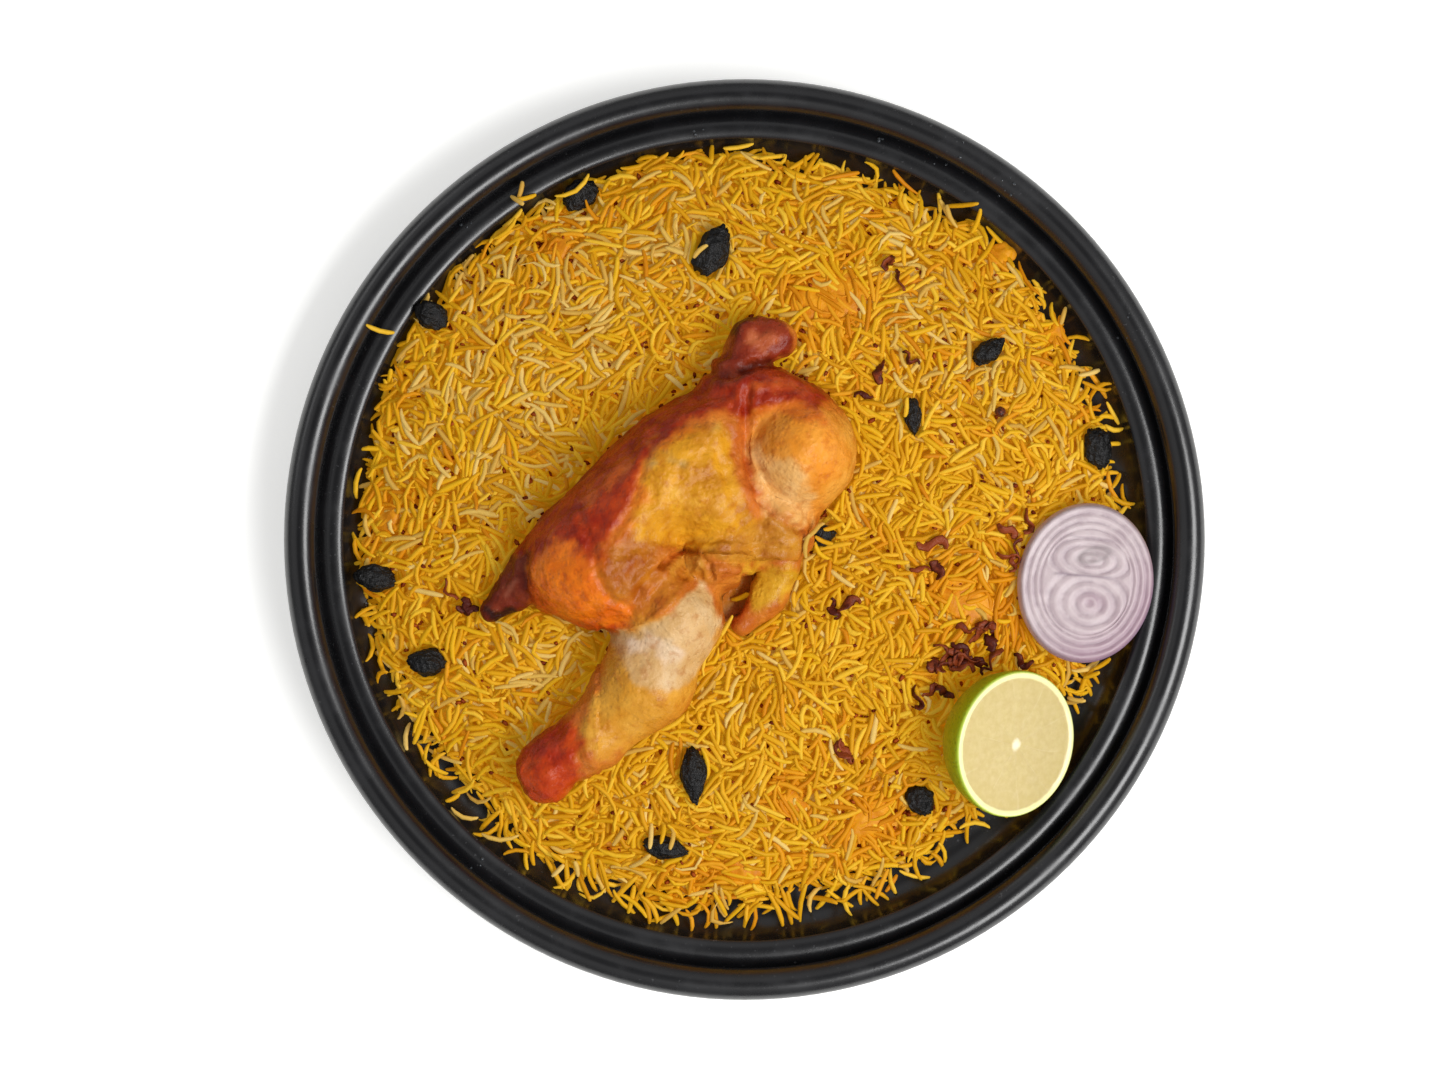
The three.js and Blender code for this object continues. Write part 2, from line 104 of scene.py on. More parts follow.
def smoothShade(piece, angle=None):
    pick(piece)
    if angle is None:
        bpy.ops.object.shade_smooth()
    else:
        bpy.ops.object.shade_smooth_by_angle(angle=math.radians(angle))


def enter(piece, name, nodes, finish):
    # names the finished piece, gives it its finish, hangs it under the root body and hides the model's parts that it
    # stands for
    piece.name = name
    piece.data.name = name
    piece.data.materials.clear()
    piece.data.materials.append(finish.material)
    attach(piece, "root")
    if nodes:
        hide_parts(*nodes)
    print("made", name, len(piece.data.polygons), "faces")
    return piece


def turned(profile, segments):
    # rings drawn out of a circle, one for each point of a half profile, with closed poles
    clearSelection()
    radius, height = profile[0]
    bpy.ops.mesh.primitive_circle_add(vertices=segments, radius=radius * mm, location=(0, 0, height * mm))
    piece = settle(bpy.context.object)
    editAll(piece)
    for (radius, height), (nextRadius, nextHeight) in zip(profile, profile[1:]):
        lift = (0, 0, (nextHeight - height) * mm)
        bpy.ops.mesh.extrude_edges_move(TRANSFORM_OT_translate={"value": lift})
        widen = nextRadius / radius
        bpy.ops.transform.resize(value=(widen, widen, 1), center_override=(0, 0, 0))
    bpy.ops.mesh.merge(type="CENTER")
    bpy.ops.mesh.select_all(action="DESELECT")
    bpy.ops.mesh.select_non_manifold()
    bpy.ops.mesh.merge(type="CENTER")
    bpy.ops.mesh.select_all(action="SELECT")
    bpy.ops.mesh.normals_make_consistent(inside=False)
    bpy.ops.object.mode_set(mode="OBJECT")
    return piece


def arc(centre, radius, start, end, steps):
    # points on a circle, from one angle to another
    angles = np.radians(np.linspace(start, end, steps + 1))
    return [(centre[0] + radius * math.cos(a), centre[1] + radius * math.sin(a)) for a in angles]


def bend(start, control, end, steps):
    # points on a curve that leaves start towards control and reaches end from it
    points = []
    for t in np.linspace(0, 1, steps + 1):
        place = (1 - t) ** 2 * np.array(start) + 2 * t * (1 - t) * np.array(control) + t * t * np.array(end)
        points.append(tuple(place))
    return points


def smooth(value, low, high):
    share = np.clip((value - low) / (high - low), 0, 1)
    return share * share * (3 - 2 * share)


def unevenness(places, size, octaves=2, seed=0):
    # noise between about -1 and 1 with bumps of the given size
    shift = Vector((seed * 7.3, seed * 3.1, seed * 5.7))
    return np.array([noise.fractal(Vector(p) / size + shift, 1.0, 2.0, octaves) for p in places])


def fromArrays(name, places, triangles):
    # a mesh object from arrays of places in millimetres and of corner numbers
    mesh = bpy.data.meshes.new(name)
    mesh.vertices.add(len(places))
    mesh.vertices.foreach_set("co", (places * mm).astype(np.float32).ravel())
    mesh.loops.add(triangles.size)
    mesh.loops.foreach_set("vertex_index", triangles.astype(np.int32).ravel())
    mesh.polygons.add(len(triangles))
    mesh.polygons.foreach_set("loop_start", np.arange(len(triangles), dtype=np.int32) * 3)
    mesh.polygons.foreach_set("use_smooth", np.ones(len(triangles), bool))
    mesh.update(calc_edges=True)
    mesh.validate()
    piece = bpy.data.objects.new(name, mesh)
    bpy.context.scene.collection.objects.link(piece)
    return piece


# finishes

def tint(code):
    # a colour as seen on screen, for a shader
    parts = [int(code[i:i + 2], 16) / 255 for i in (1, 3, 5)]
    linear = [p / 12.92 if p <= 0.04045 else ((p + 0.055) / 1.055) ** 2.4 for p in parts]
    return (*linear, 1.0)


class Wire:
    # one output of a node; sums and products of wires become Math nodes
    def __init__(self, finish, socket):
        self.finish = finish
        self.socket = socket

    def math(self, operation, first, second=0.0):
        return self.finish.node("ShaderNodeMath", {"operation": operation}, {0: first, 1: second})

    def __add__(self, other):
        return self.math("ADD", self, other)

    def __radd__(self, other):
        return self.math("ADD", other, self)

    def __sub__(self, other):
        return self.math("SUBTRACT", self, other)

    def __rsub__(self, other):
        return self.math("SUBTRACT", other, self)

    def __mul__(self, other):
        return self.math("MULTIPLY", self, other)

    def __rmul__(self, other):
        return self.math("MULTIPLY", other, self)

    def __truediv__(self, other):
        return self.math("DIVIDE", self, other)

    def __pow__(self, other):
        return self.math("POWER", self, other)

    def __abs__(self):
        return self.math("ABSOLUTE", self)


class Finish:
    def __init__(self, name, constants):
        self.material = bpy.data.materials.new(name)
        self.material.use_nodes = True
        self.tree = self.material.node_tree
        self.shader = self.tree.nodes["Principled BSDF"]
        for socket, value in constants.items():
            self.shader.inputs[socket].default_value = value
        self.place = self.node("ShaderNodeTexCoord", output="Object")

    def plug(self, socket, value):
        if isinstance(value, Wire):
            self.tree.links.new(value.socket, socket)
        elif isinstance(value, str):
            socket.default_value = tint(value)
        else:
            socket.default_value = value

    def node(self, kind, settings=None, inputs=None, output=0):
        made = self.tree.nodes.new(kind)
        for key, value in (settings or {}).items():
            if key == "stops":
                while len(made.color_ramp.elements) < len(value):
                    made.color_ramp.elements.new(0.5)
                for stop, (position, colour) in zip(made.color_ramp.elements, value):
                    stop.position = position
                    stop.color = tint(colour)
            else:
                setattr(made, key, value)
        for key, value in (inputs or {}).items():
            self.plug(made.inputs[key], value)
        return Wire(self, made.outputs[output])

    def noise(self, size, detail=2.0, rough=0.5, at=None, output=0):
        # size of the bumps in millimetres
        values = {"Vector": at or self.place, "Scale": 1 / (size * mm), "Detail": detail, "Roughness": rough}
        return self.node("ShaderNodeTexNoise", {}, values, output)

    def cells(self, size, feature="F1", at=None, output=0):
        values = {"Vector": at or self.place, "Scale": 1 / (size * mm)}
        return self.node("ShaderNodeTexVoronoi", {"feature": feature}, values, output)

    def painted(self, name, output="Fac"):
        return self.node("ShaderNodeAttribute", {"attribute_name": name}, output=output)

    def step(self, value, low, high):
        # 0 below low, 1 above high, smooth between
        limits = {"Value": value, "From Min": low, "From Max": high}
        return self.node("ShaderNodeMapRange", {"interpolation_type": "SMOOTHSTEP"}, limits)

    def blend(self, share, first, second, mode="MIX"):
        settings = {"data_type": "RGBA", "blend_type": mode}
        return self.node("ShaderNodeMix", settings, {0: share, 6: first, 7: second}, output=2)

    def relief(self, height, depth, strength=1.0, under=None):
        values = {"Height": height, "Distance": depth * mm, "Strength": strength}
        if under is not None:
            values["Normal"] = under
        return self.node("ShaderNodeBump", {}, values)

    def wear(self, **links):
        for socket, wire in links.items():
            self.plug(self.shader.inputs[socket.replace("_", " ")], wire)
        return self


# camera, light and floor

studio = {
    "world": 0.47,
    "skyStops": [(0.0, 0.5), (0.35, 0.62), (0.7, 1.0), (0.9, 1.0), (0.975, 0.12)],  # height of the direction, light
    "lamps": {  # place, width, height and power
        "softbox": ((0.733, -0.373, 1.133), 1.25, 0.56, 19.5),
        "window": ((-0.955, 0.551, 0.689), 0.9, 0.28, 0.9),
    },
    "floorColour": "#fafaf8",
    "floorGlow": 0.5,  # a light table, so that hardly any shadow shows
}


def makeStudio():
    span = photo["size"][0] * photo["mmPerPixel"]
    distance = photo["cameraHeight"] - photo["scaleHeight"]
    middle = fromPhoto(photo["size"][0] / 2, photo["size"][1] / 2)
    clearSelection()
    spot = (middle[0] * mm, middle[1] * mm, photo["cameraHeight"] * mm)
    bpy.ops.object.camera_add(location=spot, rotation=(0, 0, 0))
    camera = bpy.context.object
    camera.data.sensor_width = 36
    camera.data.lens = 36 * distance / span
    bpy.context.scene.camera = camera
    bpy.context.scene.view_settings.view_transform = "Standard"

    world = bpy.data.worlds.new("studioWorld")
    bpy.context.scene.world = world
    world.use_nodes = True
    nodes, links = world.node_tree.nodes, world.node_tree.links
    direction = nodes.new("ShaderNodeTexCoord")
    parts = nodes.new("ShaderNodeSeparateXYZ")
    ramp = nodes.new("ShaderNodeValToRGB")
    links.new(direction.outputs["Generated"], parts.inputs[0])
    links.new(parts.outputs["Z"], ramp.inputs["Fac"])
    links.new(ramp.outputs["Color"], nodes["Background"].inputs["Color"])
    # a pale room, bright overhead but for the dark spot where the camera stands
    stops = ramp.color_ramp.elements
    while len(stops) < len(studio["skyStops"]):
        stops.new(0.5)
    for stop, (position, grey) in zip(stops, studio["skyStops"]):
        stop.position = position
        stop.color = (grey, grey, grey * 1.01, 1)
    nodes["Background"].inputs["Strength"].default_value = studio["world"]

    for name, (place, width, height, power) in studio["lamps"].items():
        aim = (-Vector(place)).to_track_quat("-Z", "Y").to_euler()
        bpy.ops.object.light_add(type="AREA", location=place, rotation=aim)
        lamp = bpy.context.object
        lamp.name = name
        lamp.data.shape = "RECTANGLE"
        lamp.data.energy = power
        lamp.data.size = width
        lamp.data.size_y = height

    bpy.ops.mesh.primitive_plane_add(size=8, location=(0, 0, 0))
    floor = settle(bpy.context.object)
    floor.name = "floor"
    glow = {"Emission Strength": studio["floorGlow"], "Emission Color": tint(studio["floorColour"])}
    paper = Finish("floorPaper", {"Roughness": 0.9, **glow})
    paper.wear(Base_Color=paper.blend(paper.noise(60), studio["floorColour"], "#f4f4f2"))
    floor.data.materials.append(paper.material)


makeStudio()
print("camera, lamps and floor are in place")

# plate

plate = {
    "floorTop": 6,
    "floorRadius": 130,
    "wallBend": (139.7, 6.2),
    "wallTop": (140, 16.2),
    # low roll between the wall and the rolled rim
    "ridge": [(140.5, 16.7), (141.1, 17.05), (141.8, 17.3), (142.7, 17.5), (143.7, 17.6), (144.7, 17.55), (145.7, 17.35),
              (146.7, 17.0), (147.6, 16.5), (148.4, 15.9), (149.1, 15.4)],
    "groove": (149.6, 15.2),
    "beadCentre": (154.6, 20.45),
    "beadRadius": 5.55,
    "underWallTop": (143.2, 13),
    "underBend": (142.8, 3.2),
    "underRidge": (151.4, 12.4),
    "underside": 2.4,
    "foot": (106, 111),  # inner and outer radius of the ring that it stands on
    "footFlare": 1.2,
    "segments": 160,
    "black": "#141416",
    "dust": "#222225",
}
wallCurve = bend((plate["floorRadius"], plate["floorTop"]), plate["wallBend"], plate["wallTop"], 14)


def plateTop(radius):
    # height of the upper face at a distance from the middle
    bead = arc(plate["beadCentre"], plate["beadRadius"], 150, 20, 12)
    reach, height = zip(*wallCurve, *plate["ridge"], plate["groove"], *bead)
    return np.interp(radius, reach, height)


def plateFinish():
    melamine = Finish("blackMelamine", {"IOR": 1.62, "Specular IOR Level": 0.5})
    cloud = melamine.noise(38, 3)
    smear = melamine.step(melamine.noise(16, 4, 0.6), 0.42, 0.72)
    specks = melamine.step(melamine.noise(1.3, 1), 0.7, 0.76) * melamine.step(cloud, 0.45, 0.6)
    colour = melamine.blend(smear * 0.35, plate["black"], plate["dust"])
    colour = melamine.blend(specks * 0.35, colour, "#5a5a5c")
    gloss = 0.2 + 0.1 * cloud + 0.08 * smear
    pebble = melamine.noise(0.9, 2) + 0.8 * melamine.noise(5, 1)
    return melamine.wear(Base_Color=colour, Roughness=gloss, Normal=melamine.relief(pebble, 0.03, 0.5))


def makePlate():
    inner, outer = plate["foot"]
    flare = plate["footFlare"]
    under = bend(plate["underWallTop"], plate["underBend"], (plate["floorRadius"], plate["underside"] + 0.6), 10)
    top = [(radius, plate["floorTop"]) for radius in (8, 40, 80, 110, 124)]
    bead = arc(plate["beadCentre"], plate["beadRadius"], 188, -60, 26)
    profile = [
        *top,
        *wallCurve,
        *plate["ridge"],
        plate["groove"],
        *bead,
        plate["underRidge"],
        *under,
        (outer + flare + 4, plate["underside"] + 0.1),
        (outer + flare, plate["underside"]),
        (outer + flare * 0.5, 0.6),
        (outer, 0.1),
        (outer - 0.5, 0),
        (inner + 0.5, 0),
        (inner, 0.1),
        (inner - flare * 0.5, 0.6),
        (inner - flare, plate["underside"]),
        (inner - flare - 4, plate["underside"]),
        (60, plate["underside"]),
        (8, plate["underside"]),
    ]
    piece = turned(profile, plate["segments"])
    smoothShade(piece, 40)
    return enter(piece, "dinner_plate", ["plate"], plateFinish())


makePlate()

# half chicken

chicken = {
    "base": 23.2,  # the underside, sunk a little into the rice
    "blend": 6.5,  # how softly the lobes run together
    "voxel": 1.0,
}
# Round lobes of meat: middle, half sizes and heading of the long axis.
roundLobes = {
    "back": ((-33.2, 16.2, 31), (52.5, 19.4, 29), 43),
    "thigh": ((-47.5, -8.5, 33), (28, 22.5, 27), -10),
    "knee": ((-24.6, -25.5, 33), (17, 16.5, 22), 0),
    "ankle": ((-69, -80.4, 30), (9.4, 10.2, 9.6), 30),
    "flank": ((-14, 17.2, 34), (26, 18.5, 23), -30),
    "breast": ((19.4, 31, 31), (18.8, 19.5, 27), 0),
    "shoulder": ((6.4, 49.4, 32), (20, 9.4, 20), -10),
    "flap": ((9.6, -1.9, 33), (14.2, 6.6, 11), 8),
    "fold": ((-9, -7.4, 34), (11.4, 10.6, 19), 0),
    "breastFoot": ((12, 7.6, 33), (8, 6.5, 13.5), 0),
}
# Long lobes: both ends, the radius at each, and how low the section is for its width.
longLobes = {
    "drumstick": ((-27, -30, 34), (-34, -49, 34), 17, 15.6, 1),
    "shin": ((-34, -49, 34), (-52.5, -68.5, 32), 15.6, 10.2, 1),
    "shank": ((-52.5, -68.5, 32), (-62.5, -74, 31), 10.2, 8.8, 1),
    "breastTip": ((20.5, 22, 30), (19.8, 8.4, 29), 13.5, 5, 1),
    "wingJoint": ((-2, 57, 33), (3, 66, 34), 8, 6.4, 1),
    "wingEnd": ((2.4, 68.6, 34), (11.4, 69, 34), 6.6, 5.8, 1),
    "strip": ((13.6, -10, 28), (8, -20.4, 27), 6, 5.2, 1),
    "stripEnd": ((8, -20.4, 27), (-0.6, -29.6, 27), 5.2, 3.6, 1),
    "tail": ((-74, -12.4, 29), (-87.4, -24.2, 27), 8.6, 3.2, 0.8),
}
grooves = {
    "besideBreast": ((-2.4, 42, 61.5), (14.6, 11, 58), 4.4, 4.4, 1),
}


def roundField(places, middle, half, heading):
    turn = math.radians(-heading)
    away = places - np.array(middle)
    half = np.array(half, float)
    local = np.stack([
        away[:, 0] * math.cos(turn) - away[:, 1] * math.sin(turn),
        away[:, 0] * math.sin(turn) + away[:, 1] * math.cos(turn),
        away[:, 2],
    ], 1)
    share = np.linalg.norm(local / half, axis=1)
    slope = np.linalg.norm(local / half ** 2, axis=1)
    return share * (share - 1) / np.maximum(slope, 1e-6)


def longField(places, start, end, startRadius, endRadius, flat):
    stretch = np.array([1, 1, 1 / flat])
    first = np.array(start) * stretch
    axis = np.array(end) * stretch - first
    away = places * stretch - first
    along = np.clip(away @ axis / (axis @ axis), 0, 1)
    radius = startRadius + (endRadius - startRadius) * along
    return (np.linalg.norm(away - along[:, None] * axis, axis=1) - radius) * min(1, flat)


def softMin(a, b, width):
    share = np.maximum(width - np.abs(a - b), 0) / width
    return np.minimum(a, b) - share * share * width / 4


def meatField(places):
    # how far places are outside the meat, negative inside it
    body = np.full(len(places), 1e3)
    for lobe in roundLobes.values():
        body = softMin(body, roundField(places, *lobe), chicken["blend"])
    for lobe in longLobes.values():
        body = softMin(body, longField(places, *lobe), chicken["blend"])
    for groove in grooves.values():
        body = -softMin(-body, longField(places, *groove), chicken["blend"])
    return body


def meatSlope(places, reach=0.4):
    parts = []
    for axis in np.eye(3) * reach:
        parts.append((meatField(places + axis) - meatField(places - axis)) / (2 * reach))
    return np.stack(parts, 1)


def nearPath(places, path):
    # distance, in photo pixels, from a line drawn over the photograph
    pixels = places[:, :2] * [1, -1] / photo["mmPerPixel"] + photo["plateAt"]
    path = np.array(path, float)
    if len(path) == 1:
        return np.linalg.norm(pixels - path[0], axis=1)
    nearest = np.full(len(places), 1e9)
    for start, end in zip(path, path[1:]):
        axis = end - start
        along = np.clip((pixels - start) @ axis / (axis @ axis), 0, 1)
        nearest = np.minimum(nearest, np.linalg.norm(pixels - start - along[:, None] * axis, axis=1))
    return nearest


def insideOf(places, outline):
    # distance in photo pixels inside an outline drawn over the photograph, negative outside it
    pixels = places[:, :2] * [1, -1] / photo["mmPerPixel"] + photo["plateAt"]
    closed = [*outline, outline[0]]
    inside = np.zeros(len(places), bool)
    for (x0, y0), (x1, y1) in zip(closed, closed[1:]):
        crosses = (y0 > pixels[:, 1]) != (y1 > pixels[:, 1])
        inside ^= crosses & (pixels[:, 0] < (x1 - x0) * (pixels[:, 1] - y0) / (y1 - y0 + 1e-9) + x0)
    edge = nearPath(places, closed)
    return np.where(inside, edge, -edge)


# Creases of the skin: depth and half width in millimetres, and the line over the photograph.
creases = {
    "aboveKnee": (1.7, 0.85, [(662, 567), (671, 555), (685, 550), (699, 553), (708, 562), (712, 576)]),
    "kneeSkin": (0.9, 1.2, [(676, 556), (662, 566), (648, 580), (638, 598)]),
    "thigh": (0.8, 1.2, [(586, 520), (596, 545), (600, 572), (612, 596), (634, 606)]),
    "besideBreast": (1.5, 1.3, [(748, 392), (744, 430), (746, 468), (756, 498), (776, 516), (797, 530)]),
    "flapTop": (0.9, 1.0, [(708, 552), (730, 552), (752, 550), (772, 546), (792, 550)]),
    "flapUnder": (1.6, 1.1, [(714, 562), (736, 563), (764, 564), (792, 562)]),
    "stripEdge": (1.2, 1.1, [(744, 568), (745, 588), (738, 610)]),
    "tailRoot": (1.0, 1.3, [(530, 556), (527, 580), (533, 606)]),
    "wingRoot": (1.6, 1.5, [(712, 374), (732, 378), (748, 369), (770, 366), (792, 362)]),
    "shoulder": (0.6, 1.5, [(700, 402), (730, 397), (760, 396), (792, 392)]),
    "alongFlank": (0.6, 1.3, [(652, 452), (642, 480), (634, 508), (618, 534)]),
    "acrossFlank": (0.5, 1.3, [(700, 426), (722, 470), (735, 505), (742, 530)]),
    "aboveAnkle": (0.8, 1.6, [(582, 720), (577, 740), (584, 762)]),
}
skinEdge = [(600, 622), (615, 629), (630, 630), (650, 622), (670, 609), (682, 594), (693, 580), (703, 566), (706, 556)]

# outlines over the photograph that both the colours and the relief follow
breastOutline = [
    (754, 420), (780, 404), (812, 404), (840, 418), (860, 448), (856, 474), (840, 498), (820, 516),
    (802, 526), (776, 510), (756, 486), (748, 452)
]
ankleOutline = [
    (514, 760), (524, 734), (548, 722), (572, 720), (582, 740), (580, 770), (570, 796), (550, 806),
    (528, 802), (514, 782)
]
wingOutline = [
    (712, 384), (726, 352), (732, 330), (744, 316), (764, 314), (780, 322), (792, 338), (788, 354),
    (772, 362), (756, 372), (738, 384)
]

# Patches of the skin, laid over each other in this order: two colours that noise mixes, how soft
# the edge is and how far it reaches past the outline (in photo pixels), strength, and the outline
# or the middle line over the photograph. Most are the skin's own colours; the ones marked below
# are painted highlights and painted shade.
skinPatches = [
    ("#d6620a", "#e87a12", 12, 0, 1.0, [
        (530, 545), (560, 520), (584, 540), (604, 566), (612, 590), (640, 604), (630, 628), (600, 634),
        (572, 632), (544, 620), (526, 600), (518, 575)
    ]),
    ("#a83008", "#c04410", 9, 9, 0.8, [(528, 592), (540, 612), (560, 624), (584, 631), (608, 632)]),
    ("#9c4a04", "#b46a0c", 14, 0, 0.9, [
        (606, 540), (634, 512), (668, 540), (664, 566), (640, 600), (616, 600), (602, 576)
    ]),
    ("#c07a12", "#dd9a1e", 12, 0, 1.0, [
        (640, 462), (660, 446), (686, 432), (708, 416), (732, 436), (740, 472), (752, 500), (764, 524),
        (740, 544), (708, 552), (668, 548), (640, 536), (630, 506)
    ]),
    ("#dc9c2a", "#e9b03e", 12, 4, 0.75, [(664, 486), (684, 498), (704, 508), (722, 508)]),
    ("#a9884a", "#bba468", 9, 3, 0.7, [(652, 466), (664, 462), (684, 466)]),
    ("#a4762f", "#b48c48", 9, 2, 0.6, [(698, 424), (708, 420), (716, 430)]),
    ("#ad4a12", "#cc6a26", 7, 5, 0.8, [
        (736, 388), (740, 420), (737, 450), (740, 482), (752, 508), (772, 524)
    ]),
    ("#d68222", "#e69636", 9, 0, 1.0, breastOutline),
    ("#e48a20", "#ec9a30", 16, 14, 0.8, [(790, 436), (812, 442), (822, 462)]),
    ("#dc9430", "#e4a444", 9, 5, 0.7, [(842, 432), (850, 452), (844, 480), (826, 500)]),
    ("#e0a85c", "#e8ba78", 14, 0, 0.85, [
        (750, 452), (762, 446), (780, 466), (800, 482), (814, 500), (808, 518), (798, 526), (778, 512),
        (756, 490)
    ]),
    ("#c05a22", "#b8481c", 5, 2, 0.7, [(858, 424), (864, 427)]),
    ("#b06c18", "#c88826", 7, 0, 0.95, [
        (706, 552), (740, 530), (772, 520), (796, 530), (804, 546), (794, 560), (764, 562), (736, 562)
    ]),
    ("#c48c18", "#dca62a", 8, 0, 1.0, [
        (746, 566), (790, 564), (800, 576), (780, 604), (752, 612), (744, 590)
    ]),
    ("#a8400c", "#c05818", 6, 7, 0.9, [(742, 604), (736, 616), (730, 622)]),
    ("#b05c10", "#c87c1e", 9, 0, 1.0, [
        (640, 602), (652, 578), (672, 560), (690, 554), (706, 562), (708, 576), (696, 582), (680, 600),
        (660, 616), (634, 624)
    ]),
    # painted highlight: a golden sheen on the knee skin
    ("#cf8f2c", "#d9a040", 7, 3, 0.6, [(672, 570), (684, 562), (696, 564)]),
    ("#c8841e", "#da9c36", 9, 2, 1.0, [
        (612, 640), (700, 600), (722, 640), (700, 690), (660, 730), (610, 752), (578, 740), (590, 690)
    ]),
    ("#c89a5c", "#dab27c", 6, 0, 1.0, [
        (609, 632), (636, 630), (668, 614), (684, 600), (700, 580), (712, 600), (722, 626), (716, 648),
        (700, 668), (680, 684), (652, 692), (636, 684), (626, 660), (614, 645)
    ]),
    # painted highlight: a pinkish white shine on the bare meat
    ("#e0bf9c", "#e8ceb4", 10, 5, 0.8, [(634, 644), (656, 640), (672, 650)]),
    ("#c09c68", "#d2b080", 7, 3, 0.7, [(698, 598), (706, 612), (712, 628)]),
    ("#c4a274", "#d6b688", 5, 2, 0.5, [(668, 640), (674, 660), (668, 680)]),
    ("#c49a66", "#d0a874", 5, 1, 0.5, [(648, 664), (644, 684)]),
    ("#bc5c14", "#d07020", 8, 5, 0.9, [(604, 646), (597, 676), (586, 704), (572, 728)]),
    ("#c87c1e", "#d4902c", 6, 3, 0.8, [(722, 634), (712, 668), (690, 700), (660, 728), (620, 746)]),
    ("#a62a0a", "#be440e", 10, 2, 1.0, ankleOutline),
    ("#90281a", "#a83a24", 9, 5, 0.6, [(538, 744), (552, 740), (562, 748)]),
    ("#c6560e", "#dc7220", 14, 6, 0.75, [
        (510, 548), (540, 500), (604, 436), (660, 388), (748, 366), (816, 370), (838, 402), (812, 414),
        (764, 410), (716, 414), (672, 432), (652, 450), (640, 500), (622, 528), (600, 556), (572, 548)
    ]),
    ("#8c1c06", "#b03c10", 8, 0, 1.0, [
        (508, 552), (530, 506), (562, 468), (600, 432), (626, 410), (660, 384), (696, 362), (722, 356),
        (748, 362), (780, 360), (816, 368), (834, 400), (814, 411), (796, 402), (764, 407), (744, 417),
        (716, 412), (694, 418), (672, 430), (652, 450), (644, 472), (637, 498), (624, 524), (606, 550),
        (592, 560), (576, 542), (558, 536), (540, 552), (524, 572)
    ]),
    ("#b44414", "#cc641c", 7, 5, 0.8, [(590, 500), (600, 480), (610, 486), (630, 462)]),
    # painted highlight: a glossy red shine along the shoulder
    ("#aa3c12", "#c05a1c", 6, 3, 0.65, [(752, 390), (776, 386), (800, 392)]),
    ("#7c2410", "#98381a", 6, 2, 1.0, wingOutline),
    # pinkish fat on the wing knob, lightened as a painted highlight
    ("#b4542c", "#c46c40", 7, 5, 0.75, [(750, 342), (762, 346), (770, 340)]),
    # painted shade along the wing knob's upper left edge
    ("#46100a", "#58180e", 5, 3, 0.85, [(734, 334), (738, 322), (752, 318)]),
    # painted shade in the crease under the wing knob
    ("#4c120a", "#5c1a0e", 5, 3, 0.8, [(742, 374), (756, 366), (768, 366)]),
    ("#661c0c", "#7e3018", 5, 1, 1.0, [
        (532, 552), (510, 556), (485, 590), (474, 616), (500, 630), (520, 622), (534, 608), (529, 580)
    ]),
    # painted highlight on the tail
    ("#94503a", "#a26048", 4, 1, 0.5, [(518, 580), (508, 594)]),
    ("#1e0c0a", "#2c1410", 4, 3, 0.9, [(488, 610), (498, 616), (512, 612)]),
    # painted shade: a near-black spot for the hole beside the strip of skin
    ("#1c0805", "#2a0e08", 4, 5, 0.95, [(728, 598), (733, 608)]),
]


def onPatch(places, ragged, soft, reach, outline):
    if len(outline) < 6:
        within = -nearPath(places, outline)
        reach = reach + 2
    else:
        within = insideOf(places, outline)
    return smooth(within + reach + ragged * soft / 9, -soft * 0.6, soft * 0.6)


def skinSide(places):
    # positive on the skin, negative on the bare meat of the drumstick, in millimetres
    pixels = places[:, :2] * [1, -1] / photo["mmPerPixel"] + photo["plateAt"]
    path = np.array(skinEdge, float)
    edge = np.interp(pixels[:, 0], path[:, 0], path[:, 1])
    side = np.sign(edge - pixels[:, 1])
    beyond = (pixels[:, 0] > 706) & (pixels[:, 1] > 556)
    side = np.where(beyond, -1, side)
    side = np.where(pixels[:, 0] < 600, 1, side)
    return side * nearPath(places, skinEdge) * photo["mmPerPixel"]


def makeChickenBody():
    clearSelection()
    blocks = []
    for middle, half, heading in roundLobes.values():
        bpy.ops.mesh.primitive_uv_sphere_add(
            segments=40, ring_count=24, radius=1,
            location=[v * mm for v in middle], rotation=(0, 0, math.radians(heading)), scale=[v * mm for v in half])
        blocks.append(bpy.context.object)
    for start, end, startRadius, endRadius, flat in longLobes.values():
        for place, radius in ((start, startRadius), (end, endRadius)):
            bpy.ops.mesh.primitive_uv_sphere_add(
                segments=32, ring_count=20, radius=radius * mm, location=[v * mm for v in place], scale=(1, 1, flat))
            blocks.append(bpy.context.object)
        axis = (Vector(end) - Vector(start)) * mm
        bpy.ops.mesh.primitive_cone_add(
            vertices=32, radius1=startRadius * mm, radius2=endRadius * mm, depth=axis.length,
            location=(Vector(start) + Vector(end)) / 2 * mm, rotation=axis.to_track_quat("Z", "Y").to_euler())
        blocks.append(bpy.context.object)
    clearSelection()
    for block in blocks:
        block.select_set(True)
    bpy.context.view_layer.objects.active = blocks[0]
    bpy.ops.object.join()
    body = settle(bpy.context.object)
    body.data.remesh_voxel_size = chicken["voxel"] * mm
    bpy.ops.object.voxel_remesh()
    return body


def drawOntoField(places):
    # moves places along the slope until they lie on the meat's surface
    for _ in range(5):
        slope = meatSlope(places)
        steep = np.maximum((slope ** 2).sum(1), 0.2)
        step = np.clip(meatField(places) / steep, -2.5, 2.5)
        places = places - slope * step[:, None]
    return places


